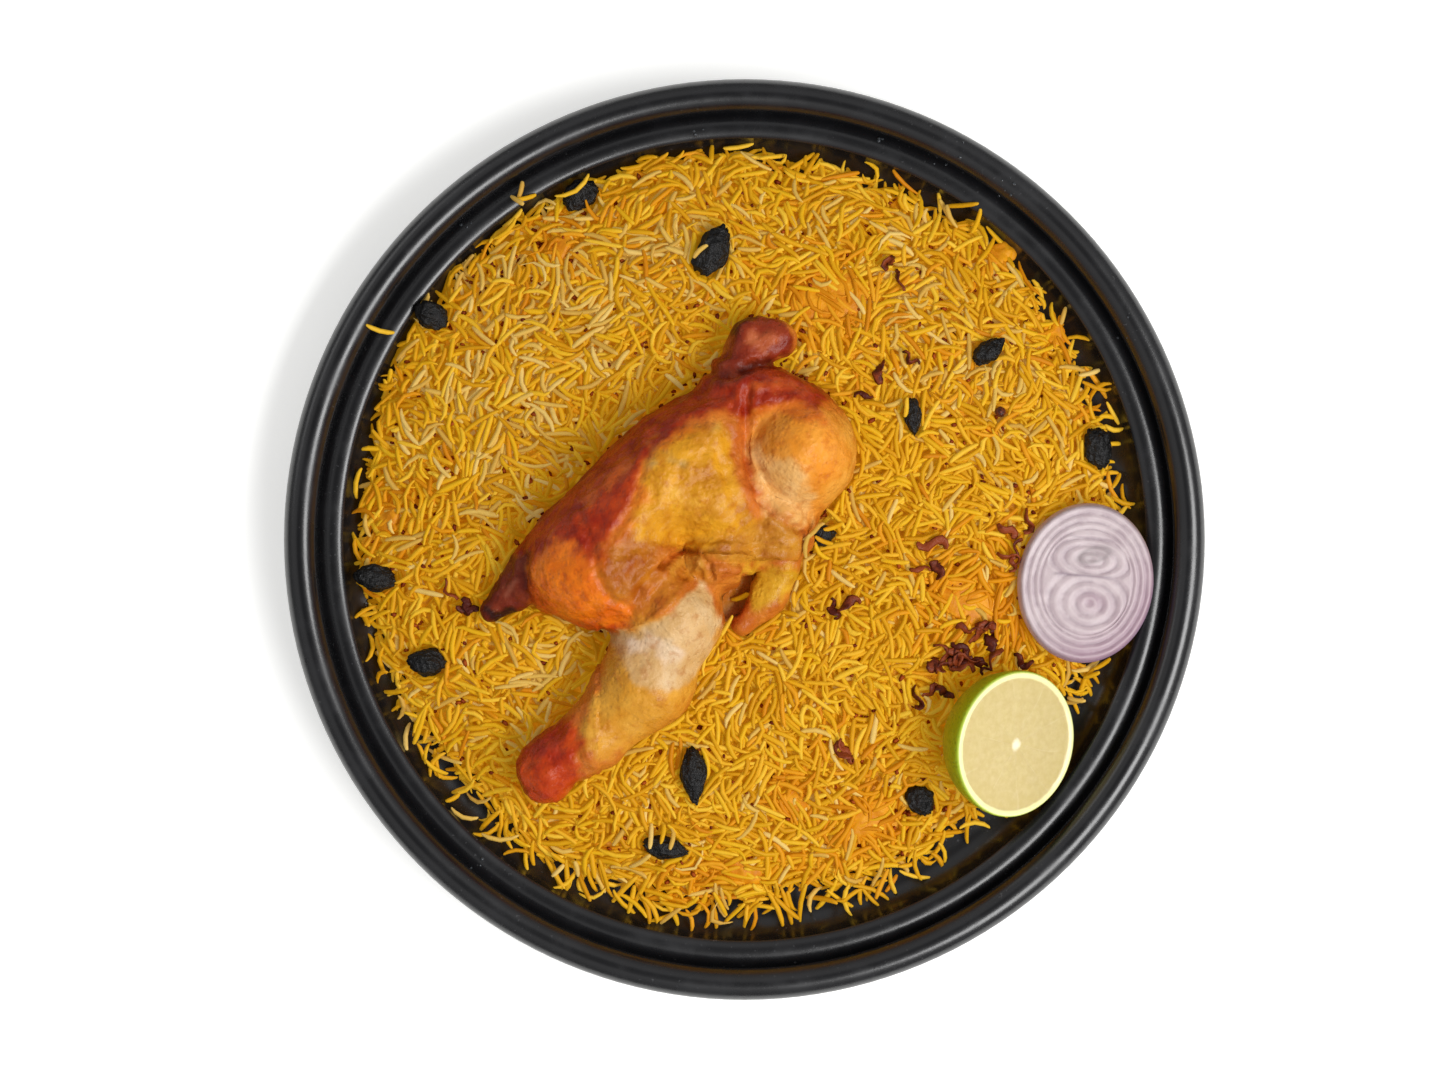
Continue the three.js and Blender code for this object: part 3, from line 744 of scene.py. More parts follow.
def chickenRelief(places):
    # height of skin, folds and wrinkles over the smooth meat, in millimetres
    side = skinSide(places)
    onSkin = smooth(side, -0.5, 0.5)
    height = 0.8 * onSkin + 0.5 * np.exp(-((side - 1.0) / 0.8) ** 2)
    for depth, width, line in creases.values():
        away = nearPath(places, line) * photo["mmPerPixel"]
        away = away + 0.5 * unevenness(places, 4, 1, 7)
        height += depth * (0.4 * np.exp(-((away - 2.2 * width) / width) ** 2) - np.exp(-(away / width) ** 2))
    turn = math.radians(43)
    along = places @ [math.cos(turn), math.sin(turn), 0]
    aside = places @ [-math.sin(turn), math.cos(turn), 0]
    streak = 1 - 2.6 * np.abs(unevenness(np.stack([along * 0.4, aside, places[:, 2]], 1), 6, 2, 5))
    crinkle = 1 - 2.6 * np.abs(unevenness(places, 4.2, 2, 15))
    breast = onPatch(places, 0, 14, 0, breastOutline)
    bony = onPatch(places, 0, 14, 4, ankleOutline) + onPatch(places, 0, 14, 4, wingOutline)
    rough = onSkin * (1 - 0.8 * breast)
    height += 0.75 * unevenness(places, 20, 2, 3) + 0.45 * unevenness(places, 8, 2, 9)
    height += 0.34 * np.clip(streak, -1, 1) * rough + 0.18 * np.clip(crinkle, -1, 1) * (0.3 + rough)
    height += 0.8 * bony * unevenness(places, 7, 2, 12) + 0.22 * unevenness(places, 2.4, 1, 14)
    return height


def chickenPaint(piece, places):
    # lays the patches of colour over each other, painted highlights and painted shade among them, their edges broken up
    # by noise
    ragged = unevenness(places, 12, 3, 21) * 8 + unevenness(places, 4, 2, 22) * 5
    mix = np.clip(0.5 + 0.9 * unevenness(places, 7, 3, 23), 0, 1)[:, None]
    colour = np.array(tint("#b85e18"))[:3] * (1 - mix) + np.array(tint("#cc7826"))[:3] * mix
    for first, second, soft, reach, strength, outline in skinPatches:
        share = onPatch(places, ragged, soft, reach, outline)[:, None] * strength
        patch = np.array(tint(first))[:3] * (1 - mix) + np.array(tint(second))[:3] * mix
        colour = colour * (1 - share) + patch * share
    paint(piece, "skinColour", colour)


def chickenFinish():
    skin = Finish("roastChickenSkin", {
        "IOR": 1.45, "Specular IOR Level": 0.2, "Coat Weight": 0.08, "Coat Roughness": 0.14})
    colour = skin.painted("skinColour", "Color")
    mottle = skin.noise(4.5, 4, 0.6)
    fleck = skin.noise(1.6, 3, 0.6)
    pores = skin.cells(2.1)
    colour = skin.blend(skin.step(mottle, 0.5, 0.72) * 0.55, colour, skin.blend(1.0, colour, "#d0a070", "MULTIPLY"))
    colour = skin.blend(skin.step(mottle, 0.5, 0.3) * 0.2, colour, skin.blend(1.0, colour, "#5a3408", "ADD"))
    colour = skin.blend(skin.step(fleck, 0.62, 0.75) * 0.25, colour, skin.blend(0.4, colour, "#eaa860"))
    height = 0.6 * fleck + 0.3 * skin.step(pores, 0.0, 0.55) + 0.7 * mottle
    gloss = 0.24 + 0.26 * fleck
    return skin.wear(Base_Color=colour, Roughness=gloss, Normal=skin.relief(height, 0.7, 0.9))


def makeChicken():
    body = makeChickenBody()
    places = drawOntoField(corners(body))
    outward = meatSlope(places)
    outward /= np.maximum(np.linalg.norm(outward, axis=1), 1e-6)[:, None]
    fade = smooth(places[:, 2], chicken["base"] - 4, chicken["base"] + 3)
    places = places + outward * (chickenRelief(places) * fade - 0.35)[:, None]
    moveCorners(body, places)
    editAll(body)
    bpy.ops.mesh.bisect(plane_co=(0, 0, chicken["base"] * mm), plane_no=(0, 0, 1), use_fill=True, clear_inner=True)
    bpy.ops.object.mode_set(mode="OBJECT")
    chickenPaint(body, corners(body))
    smoothShade(body, 60)
    return enter(body, "roast_half_chicken", ["half_chicken"], chickenFinish())


chickenPiece = makeChicken()

# lime

lime = {
    "radius": 25.6,
    "centre": (93.8, -70.7, 34),
    "tilt": 35,
    "heading": -12.5,
    "rindEdge": 0.7,
    "pithWidth": 1.9,
    "pulpStep": 0.7,
    "wedges": 10,
    "segments": 128,
}


def lean(piece, centre, tilt, heading):
    # turns a piece that was modelled flat so that its upper face leans towards a heading
    pick(piece)
    piece.rotation_euler = (0, math.radians(tilt), math.radians(heading))
    piece.location = [v * mm for v in centre]
    return settle(piece)


def limeFinish():
    peel = Finish("limePeelAndPulp", {
        "IOR": 1.42, "Subsurface Weight": 0.15, "Subsurface Radius": (0.8, 1.0, 0.3), "Subsurface Scale": 0.002})
    own = peel.painted("ownPlace", "Vector")
    parts = peel.tree.nodes.new("ShaderNodeSeparateXYZ")
    peel.tree.links.new(own.socket, parts.inputs[0])
    x, y, z = (Wire(peel, parts.outputs[i]) for i in range(3))
    out = (x * x + y * y) ** 0.5
    angle = x.math("ARCTAN2", y, x)
    pulpEdge = lime["radius"] - lime["pithWidth"]
    # peel, yellower away from the cut
    down = peel.step(z, -16, 1)
    peelColour = peel.blend(down, "#aaa00a", "#9cae10")
    peelColour = peel.blend(peel.step(peel.noise(14, 2), 0.4, 0.65) * 0.6, peelColour, "#b4b020")
    oil = peel.cells(1.5)
    peelColour = peel.blend((1 - peel.step(oil, 0.1, 0.5)) * 0.35, peelColour, "#76900c")
    # pulp: wedges with pale walls between them, and fine juice sacs that run outwards
    share = angle * (lime["wedges"] / (2 * math.pi)) + 0.35 * (peel.noise(14, 1) - 0.5)
    between = abs(share.math("FRACT", share) - 0.5)
    wall = peel.step(between, 0.46, 0.5) * peel.step(out, 2, 5)
    sacs = peel.noise(2.2, 3, 0.6)
    pulp = peel.blend(peel.step(sacs, 0.25, 0.78), "#c9b47a", "#d3c08a")
    pulp = peel.blend(peel.step(out, 15, 23) * 0.3, pulp, "#c8b474")
    pulp = peel.blend(wall * 0.3 * peel.step(peel.noise(9, 2), 0.35, 0.65), pulp, "#e0d2a6")
    core = 1 - peel.step(out + 2.4 * (peel.noise(3, 2) - 0.5), 0.8, 2.6)
    pulp = peel.blend(core, pulp, "#fbf3cf")
    ring = peel.step(out + 0.5 * (peel.noise(3, 2) - 0.5), pulpEdge - 0.9, pulpEdge - 0.1)
    face = peel.blend(ring, pulp, "#f4eeb0")
    outer = peel.step(out, lime["radius"] - 1.0, lime["radius"] - 0.25)
    face = peel.blend(outer, face, "#b7cf4a")
    onFace = peel.step(z, -1.35, -1.05) * (1 - peel.step(out, lime["radius"] - 0.5, lime["radius"] - 0.1))
    colour = peel.blend(onFace, peelColour, face)
    dimples = peel.step(oil, 0.0, 0.5)
    height = peel.blend(onFace, dimples, 0.5 * sacs * (1 - ring))
    gloss = 0.38 - 0.14 * onFace
    return peel.wear(Base_Color=colour, Roughness=gloss, Normal=peel.relief(height, 0.35, 0.5))


def makeLime():
    radius, pulp = lime["radius"], lime["radius"] - lime["pithWidth"]
    drop = lime["pulpStep"]
    profile = [
        *arc((0, 0), radius, -88, -4, 40),
        (radius - 0.15, -0.9),
        (radius - 0.4, -0.25),
        (radius - lime["rindEdge"], 0),
        (radius - 1.4, 0.05),
        (pulp + 0.3, 0),
        (pulp - 0.2, -0.2),
        (pulp - drop, -drop * 0.8),
    ]
    profile += [(r, -drop) for r in np.linspace(pulp - 2 * drop, 0.8, 30)]
    piece = turned(profile, lime["segments"])
    places = corners(piece)
    out = np.hypot(places[:, 0], places[:, 1])
    angle = np.arctan2(places[:, 1], places[:, 0])
    onPulp = (places[:, 2] > -1) & (out < pulp)
    share = (angle * lime["wedges"] / (2 * math.pi)) % 1
    swell = 0.28 * np.sin(np.pi * share) ** 0.5 * smooth(out, 1, 6) * (1 - smooth(out, pulp - 3, pulp))
    places[:, 2] += np.where(onPulp, swell + 0.12 * unevenness(places, 2.5, 2, 31), 0)
    places[:, 2] += np.where(out < 1.5, 0.25, 0) * onPulp
    outside = places[:, 2] < -0.8
    bumpy = 1 + 0.006 * unevenness(places, 12, 2, 33)
    places = np.where((outside & ~onPulp)[:, None], places * bumpy[:, None], places)
    moveCorners(piece, places)
    paint(piece, "ownPlace", places)
    smoothShade(piece, 50)
    lean(piece, lime["centre"], lime["tilt"], lime["heading"])
    return enter(piece, "cut_lime", ["lime_half"], limeFinish())


limePiece = makeLime()

# onion slice

onion = {
    "length": 55.6,
    "width": 47.6,
    "thickness": 7,
    "centre": (118.3, -15.1, 23.6),
    "tilt": 4,
    "heading": -7,
    "outerRings": 3.4,
    "coreShare": 0.66,
    "segments": 144,
}


def onionRings(places):
    # ring number outwards from the two hearts of the slice, growing smoothly across each ring
    x = places[:, 0] / (onion["width"] / 2)
    y = places[:, 1] / (onion["length"] / 2)
    whole = np.hypot(x, y)
    split = 0.07
    upper = ((x - 0.02) / 0.56) ** 2 + ((y - 0.30) / 0.25) ** 2
    lower = ((x - 0.06) / 0.56) ** 2 + ((y + 0.25) / 0.40) ** 2
    inner = np.minimum(np.sqrt(upper), np.sqrt(lower))
    inside = 1 - smooth(whole, onion["coreShare"] - 0.05, onion["coreShare"] + 0.05)
    hearts = np.minimum(inner, 1.25) * 2.9
    outer = 3.9 + (whole - onion["coreShare"]) / (1 - onion["coreShare"]) * onion["outerRings"]
    return hearts * inside + outer * (1 - inside), whole, split


def onionFinish():
    flesh = Finish("rawOnion", {
        "IOR": 1.4, "Subsurface Weight": 0.2, "Subsurface Radius": (1.0, 0.8, 0.9), "Subsurface Scale": 0.002})
    ring = flesh.painted("ring") + 0.4 * (flesh.noise(7, 2) - 0.5)
    whole = flesh.painted("whole")
    line = abs(flesh.node("ShaderNodeMath", {"operation": "FRACT"}, {0: ring}) - 0.5)
    haze = flesh.noise(7, 3)
    edge = flesh.step(line, 0.26, 0.5) * flesh.step(flesh.noise(5, 2), 0.3, 0.62)
    colour = flesh.blend(flesh.step(haze, 0.35, 0.65), "#b6a4a8", "#c8b8ba")
    colour = flesh.blend(flesh.painted("pink") * 0.9, colour, "#a08290")
    colour = flesh.blend(flesh.step(line, 0.2, 0.02) * 0.3, colour, "#d8c9c9")
    colour = flesh.blend(edge * 0.5, colour, "#9a878f")
    colour = flesh.blend(flesh.painted("heart") * 0.75, colour, "#8b7f80")
    colour = flesh.blend(flesh.painted("seam") * 0.7, colour, "#86747e")
    # the cut edge: purple skin on the purple side of the slice, and on the other side a peach edge that is painted
    # light thrown up from the rice
    rim = flesh.step(whole, 0.955, 0.995)
    colour = flesh.blend(rim * 0.6, colour, flesh.blend(flesh.painted("pink"), "#d6a898", "#a87ca4"))
    height = 0.5 * (1 - edge) + 0.5 * flesh.noise(1.6, 2)
    gloss = 0.32 + 0.15 * haze
    return flesh.wear(Base_Color=colour, Roughness=gloss, Normal=flesh.relief(height, 0.35, 0.5))


def makeOnion():
    half, radius = onion["thickness"] / 2, onion["length"] / 2
    profile = [
        *[(r, half) for r in np.linspace(0.3, radius * 0.93, 74)],
        *bend((radius * 0.935, half), (radius * 0.975, half * 0.9), (radius, 0), 7),
        *bend((radius, 0), (radius * 0.97, -half * 0.9), (radius * 0.92, -half), 6)[1:],
        (radius * 0.6, -half),
        (radius * 0.3, -half),
        (0.3, -half),
    ]
    piece = turned(profile, onion["segments"])
    places = corners(piece)
    places[:, 0] *= onion["width"] / onion["length"]
    ring, whole, _ = onionRings(places)
    onFace = smooth(places[:, 2], half - 0.8, half - 0.05)
    step = np.cos(2 * np.pi * ring)
    places[:, 2] += onFace * (-0.22 - 0.14 * step + 0.1 * unevenness(places, 8, 2, 41)) * (1 - smooth(whole, 0.9, 1))
    moveCorners(piece, places)
    paint(piece, "ring", ring)
    paint(piece, "whole", whole)
    x = places[:, 0] / (onion["width"] / 2)
    y = places[:, 1] / (onion["length"] / 2)
    long = (x - 0.06) * np.cos(0.3) + (y - 0.36) * np.sin(0.3)
    short = (y - 0.36) * np.cos(0.3) - (x - 0.06) * np.sin(0.3)
    ringed = np.abs(np.hypot(long / 0.27, short / 0.11) - 0.8)
    heart = 0.6 * np.exp(-(long / 0.22) ** 2 - (short / 0.09) ** 2) + 0.6 * np.exp(-(ringed / 0.2) ** 2)
    paint(piece, "heart", np.clip(heart, 0, 1) * (places[:, 2] > 0))
    seam = np.exp(-((y - 0.09 - 0.03 * x) / 0.02) ** 2) * (1 - smooth(np.abs(x + 0.06), 0.35, 0.5))
    seam += 0.6 * np.exp(-((y - 0.56) / 0.018) ** 2) * (1 - smooth(np.abs(x - 0.02), 0.25, 0.42))
    paint(piece, "seam", np.clip(seam, 0, 1))
    purple = smooth(0.75 * x - 0.85 * y, -0.1, 0.9) * smooth(whole, 0.45, 0.95)
    purple += 0.7 * np.exp(-((x - 0.12) / 0.24) ** 2 - ((y + 0.22) / 0.12) ** 2)
    paint(piece, "pink", np.clip(purple, 0, 1))
    smoothShade(piece, 50)
    lean(piece, onion["centre"], onion["tilt"], onion["heading"])
    return enter(piece, "cut_onion", ["onion_slice"], onionFinish())


onionPiece = makeOnion()

# rice heap: its shape, which the raisins sit on too

heap = {
    "centre": (-3.5, 5),
    "radius": 132.5,
    "crown": 27,
    "edgeHeight": 11.5,
    "steepness": 5,
    "coreDepth": 3.4,  # how far the core lies below the grains on top
    "coreInset": 5,
}


def heapEdge(angle):
    slow = 1.3 * np.sin(3 * angle + 0.6) + 1.1 * np.sin(7 * angle + 2.1)
    quick = 1.1 * np.sin(13 * angle + 4) + 0.9 * np.sin(29 * angle + 1)
    return heap["radius"] + slow + quick


def heapShare(x, y):
    # 0 in the middle of the heap and 1 at its edge
    across, up = x - heap["centre"][0], y - heap["centre"][1]
    return np.hypot(across, up) / heapEdge(np.arctan2(up, across))


def heapTop(x, y):
    share = np.minimum(heapShare(x, y), 1)
    roll = 1.1 * np.sin(x / 16 + 1) * np.sin(y / 19) + 0.7 * np.sin((x - y) / 10)
    swell = (heap["crown"] - heap["edgeHeight"]) * (1 - share ** heap["steepness"])
    return heap["edgeHeight"] + swell + roll * (1 - share)


# raisins

# place on the plate, length, width, heading, how far the middle stands above the rice, and how
# pointed the leading end is
raisins = [
    ((-11.3, 99.9), 21.5, 12.5, 62, 1.6, 0.1),
    ((-17.5, -81.5), 22.2, 10.8, -88, 1.6, 0.5),
    ((-108.9, 78), 14.5, 11.1, -25, 4, 0.2),
    ((-111, -42.6), 15.6, 11.1, 176, 1.4, 0.5),
    ((-129.2, -13.4), 17.4, 10.6, 172, 2.6, 0.3),
    ((-57.1, 120.2), 15.4, 11.6, 30, 1.2, 0.2),
    ((84.9, 65.5), 14.2, 9, 38, 1.2, 0.4),
    ((58.2, 42.6), 14.6, 7.4, -84, 0.4, 0.5),
    ((123.2, 32.1), 15.8, 11.4, 98, 2.2, 0),
    ((-27.6, -107.2), 17.6, 9.4, -12, 0.4, 0.4),
    ((61.3, -90.8), 13, 11.4, -60, 0.2, 0.3),
    ((26.6, 1.2), 11.5, 8.6, 20, 0.4, 0),
]
raisinHeight = 9


def raisinFinish():
    skin = Finish("raisinSkin", {"IOR": 1.45, "Specular IOR Level": 0.5})
    bloom = skin.noise(3, 3)
    colour = skin.blend(skin.step(bloom, 0.5, 0.75), "#070606", "#121114")
    height = skin.noise(1.0, 3, 0.65) + 0.8 * skin.cells(1.9)
    return skin.wear(Base_Color=colour, Roughness=0.3 + 0.3 * bloom, Normal=skin.relief(height, 0.8, 1.0))


def makeRaisin(number, at, length, width, heading, lift, point, finish):
    clearSelection()
    bpy.ops.mesh.primitive_ico_sphere_add(subdivisions=4, radius=1)
    piece = bpy.context.object
    places = corners(piece) * mm
    folds = 1 - 2.4 * np.abs(unevenness(places * [0.6, 1.3, 1.3], 0.5, 2, number))
    dents = unevenness(places, 0.8, 1, number + 40)
    size = 0.9 - 0.11 * np.clip(folds, -0.6, 1) + 0.14 * dents
    places = places * size[:, None]
    slim = 1 - point * np.clip(places[:, 0], 0, 1)
    places[:, 1] *= slim
    places[:, 2] *= slim
    places = places * [length / 2, width / 2, raisinHeight / 2]
    turn = math.radians(heading)
    x = places[:, 0] * math.cos(turn) - places[:, 1] * math.sin(turn)
    y = places[:, 0] * math.sin(turn) + places[:, 1] * math.cos(turn)
    centre = heapTop(*at) + lift
    moveCorners(piece, np.stack([x + at[0], y + at[1], places[:, 2] + centre], 1))
    smoothShade(piece)
    return enter(piece, f"raisin_skin_{number:02d}", [f"raisin_{number:02d}"], finish)


blackSkin = raisinFinish()
raisinPieces = [makeRaisin(i + 1, *row, blackSkin) for i, row in enumerate(raisins)]

# soft orange onion flakes and a peppercorn, bedded in the rice

# place over the photograph, length, width and heading
orangeFlakes = [
    (830, 297, 28, 17, 8), (968, 602, 24, 14, -30), (872, 822, 20, 12, 35), (560, 242, 15, 8, 70),
    (1004, 252, 10, 8, 20), (1058, 332, 9, 7, -60), (792, 802, 12, 8, 0), (384, 520, 12, 8, 50), (742, 874, 14, 9, -20),
]
pepper = {"at": (88.8, 44.3), "radius": 1.9}


def flakeFinish():
    # the flakes glow a little in their own colour: painted light, as in the rice
    soft = Finish("stainedOnionFlake", {"IOR": 1.4, "Specular IOR Level": 0.25, "Emission Strength": 0.14})
    stain = soft.noise(5, 3)
    colour = soft.blend(soft.step(stain, 0.35, 0.65), "#c0740a", "#d48e10")
    colour = soft.blend(soft.step(soft.noise(2.2, 2), 0.55, 0.75) * 0.4, colour, "#dca42c")
    gloss = 0.34 + 0.2 * stain
    creased = soft.relief(soft.noise(1.8, 3), 0.5, 0.7)
    return soft.wear(Base_Color=colour, Emission_Color=colour, Roughness=gloss, Normal=creased)


def makeFlakes():
    clearSelection()
    flakes = []
    for number, (px, py, length, width, heading) in enumerate(orangeFlakes):
        bpy.ops.mesh.primitive_ico_sphere_add(subdivisions=4, radius=1)
        flake = bpy.context.object
        places = corners(flake) * mm
        wavy = 1 + 0.22 * unevenness(places, 0.8, 2, number + 60)
        places = places * wavy[:, None] * [length / 2, width / 2, 1.6]
        turn = math.radians(heading)
        x = places[:, 0] * math.cos(turn) - places[:, 1] * math.sin(turn)
        y = places[:, 0] * math.sin(turn) + places[:, 1] * math.cos(turn)
        at = fromPhoto(px, py)
        x, y = x + at[0], y + at[1]
        ripple = 0.5 * unevenness(np.stack([x, y, 0 * x], 1), 5, 2, 71)
        moveCorners(flake, np.stack([x, y, places[:, 2] + heapTop(x, y) - 1.5 + ripple], 1))
        flakes.append(flake)
    clearSelection()
    for flake in flakes:
        flake.select_set(True)
    bpy.context.view_layer.objects.active = flakes[0]
    bpy.ops.object.join()
    piece = bpy.context.object
    smoothShade(piece)
    return enter(piece, "orange_flakes", ["rice_bed"], flakeFinish())


def makePeppercorn():
    clearSelection()
    bpy.ops.mesh.primitive_ico_sphere_add(subdivisions=4, radius=1)
    piece = bpy.context.object
    places = corners(piece) * mm
    wrinkles = 1 - 0.14 * np.clip(1 - 2.5 * np.abs(unevenness(places, 0.6, 2, 81)), 0, 1)
    places = places * wrinkles[:, None] * pepper["radius"]
    x, y = pepper["at"]
    moveCorners(piece, places + [x, y, heapTop(x, y) + 0.5])
    smoothShade(piece)
    husk = Finish("peppercornHusk", {"IOR": 1.45})
    colour = husk.blend(husk.step(husk.noise(1.2, 2), 0.4, 0.62), "#3c160a", "#6c2c12")
    husk.wear(Base_Color=colour, Roughness=0.4 + 0.2 * husk.noise(0.8, 2))
    return enter(piece, "peppercorn", ["rice_bed"], husk)


makeFlakes()
pepperPiece = makePeppercorn()

# heights over the plate, on a fine grid, for the grains to come to rest on

rice = {"glow": 0.28}  # painted light: grains and core glow in their own colour, standing in for light that grains pass on to each other, which lightens the shade in the gaps
bed = {"cell": 0.5, "reach": 150, "sink": 0.74, "headroom": 1.7}
cellsAcross = int(2 * bed["reach"] / bed["cell"])
gridLine = (np.arange(cellsAcross) + 0.5) * bed["cell"] - bed["reach"]
gridX, gridY = np.meshgrid(gridLine, gridLine)
target = heapTop(gridX, gridY)


def cellOf(x, y):
    column = np.clip(((x + bed["reach"]) / bed["cell"]).astype(int), 0, cellsAcross - 1)
    row = np.clip(((y + bed["reach"]) / bed["cell"]).astype(int), 0, cellsAcross - 1)
    return row, column


def sound(pieces):
    # top and underside of everything that lies on the rice, above every cell
    over = np.full(gridX.shape, -1e3)
    under = np.full(gridX.shape, 1e3)
    look = bpy.context.evaluated_depsgraph_get()
    for piece in pieces:
        tree = BVHTree.FromObject(piece, look)
        places = corners(piece)
        (rowLow, columnLow), (rowHigh, columnHigh) = (
            cellOf(edge[:1], edge[1:2]) for edge in (places.min(0)[:2] - 1, places.max(0)[:2] + 1))
        for row in range(rowLow[0], rowHigh[0] + 1, 2):
            for column in range(columnLow[0], columnHigh[0] + 1, 2):
                x, y = gridLine[row] + 0.25, gridLine[column] + 0.25
                hit = tree.ray_cast(Vector((y * mm, x * mm, 0.2)), Vector((0, 0, -1)))[0]
                if hit is None:
                    continue
                below = tree.ray_cast(Vector((y * mm, x * mm, -0.1)), Vector((0, 0, 1)))[0]
                block = (slice(row, row + 2), slice(column, column + 2))
                over[block] = np.maximum(over[block], hit[2] / mm)
                under[block] = np.minimum(under[block], below[2] / mm)
    return over, under


toppings = [chickenPiece, limePiece, onionPiece, *raisinPieces, pepperPiece]
bpy.context.view_layer.update()
over, under = sound(toppings)
print("heights of the toppings are sounded")

floorHeight = plateTop(np.hypot(gridX, gridY)) + 0.3
share = heapShare(gridX, gridY)
coreReach = 1 - heap["coreInset"] / heap["radius"]
coreTop = target - heap["coreDepth"] * smooth(1.06 - share, 0.0, 0.12)
coreTop = np.minimum(coreTop, under - 0.6)
coreTop = np.where(share < coreReach, coreTop, floorHeight)
coreTop = np.maximum(coreTop, floorHeight)
ground = coreTop.copy()  # what a grain would land on
blocked = ground + bed["headroom"] > under
ground = np.where(blocked, np.maximum(ground, over), ground)


def riceCoreFinish():
    # the core glows in its own colour like the grains: painted light that lifts the shade in the gaps
    shade = Finish("riceInTheGaps", {"Emission Strength": rice["glow"]})
    colour = shade.blend(shade.step(shade.noise(3, 3), 0.35, 0.65), "#b4760a", "#dc9e12")
    gloss = 0.55 + 0.2 * shade.noise(2, 2)
    grainy = shade.relief(shade.noise(2.2, 2), 1.0, 0.8)
    return shade.wear(Base_Color=colour, Emission_Color=colour, Roughness=gloss, Normal=grainy)


def makeCore():
    # the heap under the loose grains, with grain-like relief
    rings = 84
    reach = heap["radius"] - heap["coreInset"]
    profile = [(reach * (i + 0.5) / rings, 20) for i in range(rings)]
    profile += [(reach, 14), (reach - 1, 8), (reach - 3, 7)]
    profile += [(reach * s, 6.6) for s in (0.8, 0.5, 0.2, 0.02)]
    piece = turned(profile, 220)
    places = corners(piece)
    top = places[:, 2] > 19
    angle = np.arctan2(places[:, 1], places[:, 0])
    stretch = (heapEdge(angle) - heap["coreInset"]) / reach
    stretch = 1 + (stretch - 1) * smooth(np.hypot(places[:, 0], places[:, 1]), 0, reach)
    places[:, :2] *= stretch[:, None]
    places[:, :2] += heap["centre"]
    row, column = cellOf(places[:, 0], places[:, 1])
    heights = target[row, column] - heap["coreDepth"] * smooth(1.06 - share[row, column], 0.0, 0.12)
    relief = 0.8 * unevenness(places, 3.0, 2, 51)
    heights = np.minimum(heights + relief - 0.4, under[row, column] - 0.6)
    floorAt = plateTop(np.hypot(places[:, 0], places[:, 1])) + 0.35
    upper = np.maximum(heights, floorAt + 0.2)
    lower = np.maximum(np.minimum(places[:, 2], heights - 0.3), floorAt)
    places[:, 2] = np.where(top, upper, lower)
    moveCorners(piece, places)
    smoothShade(piece)
    return enter(piece, "rice_core", ["rice_bed"], riceCoreFinish())


makeCore()

# rice grains

grain = {
    "length": (11.4, 2.0),
    "radius": (0.88, 0.08),
    "flatness": 0.85,
    "sides": 5,
    "rings": (-0.465, -0.3, 0.0, 0.3, 0.465),  # places of its rings of corners along it
    "girth": (0.58, 0.94, 1.0, 0.96, 0.64),
    "samples": 9,
    "choices": 8,  # places tried for each grain; it takes the lowest
    "steepest": 0.6,
    "proud": 0.8,  # how far a grain's middle may come above the heap's mean surface
}
random = np.random.default_rng(11)
sampleAt = np.linspace(-0.5, 0.5, grain["samples"])
leftSide, rightSide = np.where(sampleAt < 0)[0], np.where(sampleAt >= 0)[0]
pairLeft, pairRight = (a.ravel() for a in np.meshgrid(leftSide, rightSide))
laneAt = np.array([-0.62, 0.0, 0.62])
plump = np.sqrt(np.clip(1 - np.abs(2 * sampleAt) ** 3.4, 0.12, 1))  # how the grain tapers


def directionField(x, y):
    # grains lie in loose drifts, so that neighbours often share a heading
    return 1.7 * np.sin(x / 21 + 0.8) + 1.9 * np.cos(y / 17 + x / 47) + 1.1 * np.sin((x + y) / 31)


def drawSpots(count, innerShare, outerShare):
    # random places on the heap, evenly spread
    angle = random.uniform(-np.pi, np.pi, count)
    out = np.sqrt(random.uniform(innerShare ** 2, outerShare ** 2, count)) * heapEdge(angle)
    return heap["centre"][0] + out * np.cos(angle), heap["centre"][1] + out * np.sin(angle)


def restingPlace(x, y, heading, length, bow, radius):
    # the lowest line that each choice can lie on, as height of its middle and slope
    along = sampleAt * length[:, None]
    across = bow[:, None] * (4 * sampleAt ** 2 - 0.4)
    cos, sin = np.cos(heading)[:, None], np.sin(heading)[:, None]
    need = np.full(along.shape, -1e3)
    for lane in laneAt:
        aside = across + lane * radius * plump
        row, column = cellOf(x[:, None] + along * cos - aside * sin, y[:, None] + along * sin + aside * cos)
        lift = radius * plump * math.sqrt(1 - lane * lane) * grain["flatness"]
        need = np.maximum(need, ground[row, column] + lift)
    a, b = along[:, pairLeft], along[:, pairRight]
    first, second = need[:, pairLeft], need[:, pairRight]
    height = (first * b - second * a) / (b - a)
    best = height.argmax(1)
    pickRow = np.arange(len(x))
    slope = (second[pickRow, best] - first[pickRow, best]) / (b[pickRow, best] - a[pickRow, best])
    slope = np.clip(slope, -grain["steepest"], grain["steepest"])
    middle = (need - slope[:, None] * along).max(1)
    return middle, slope


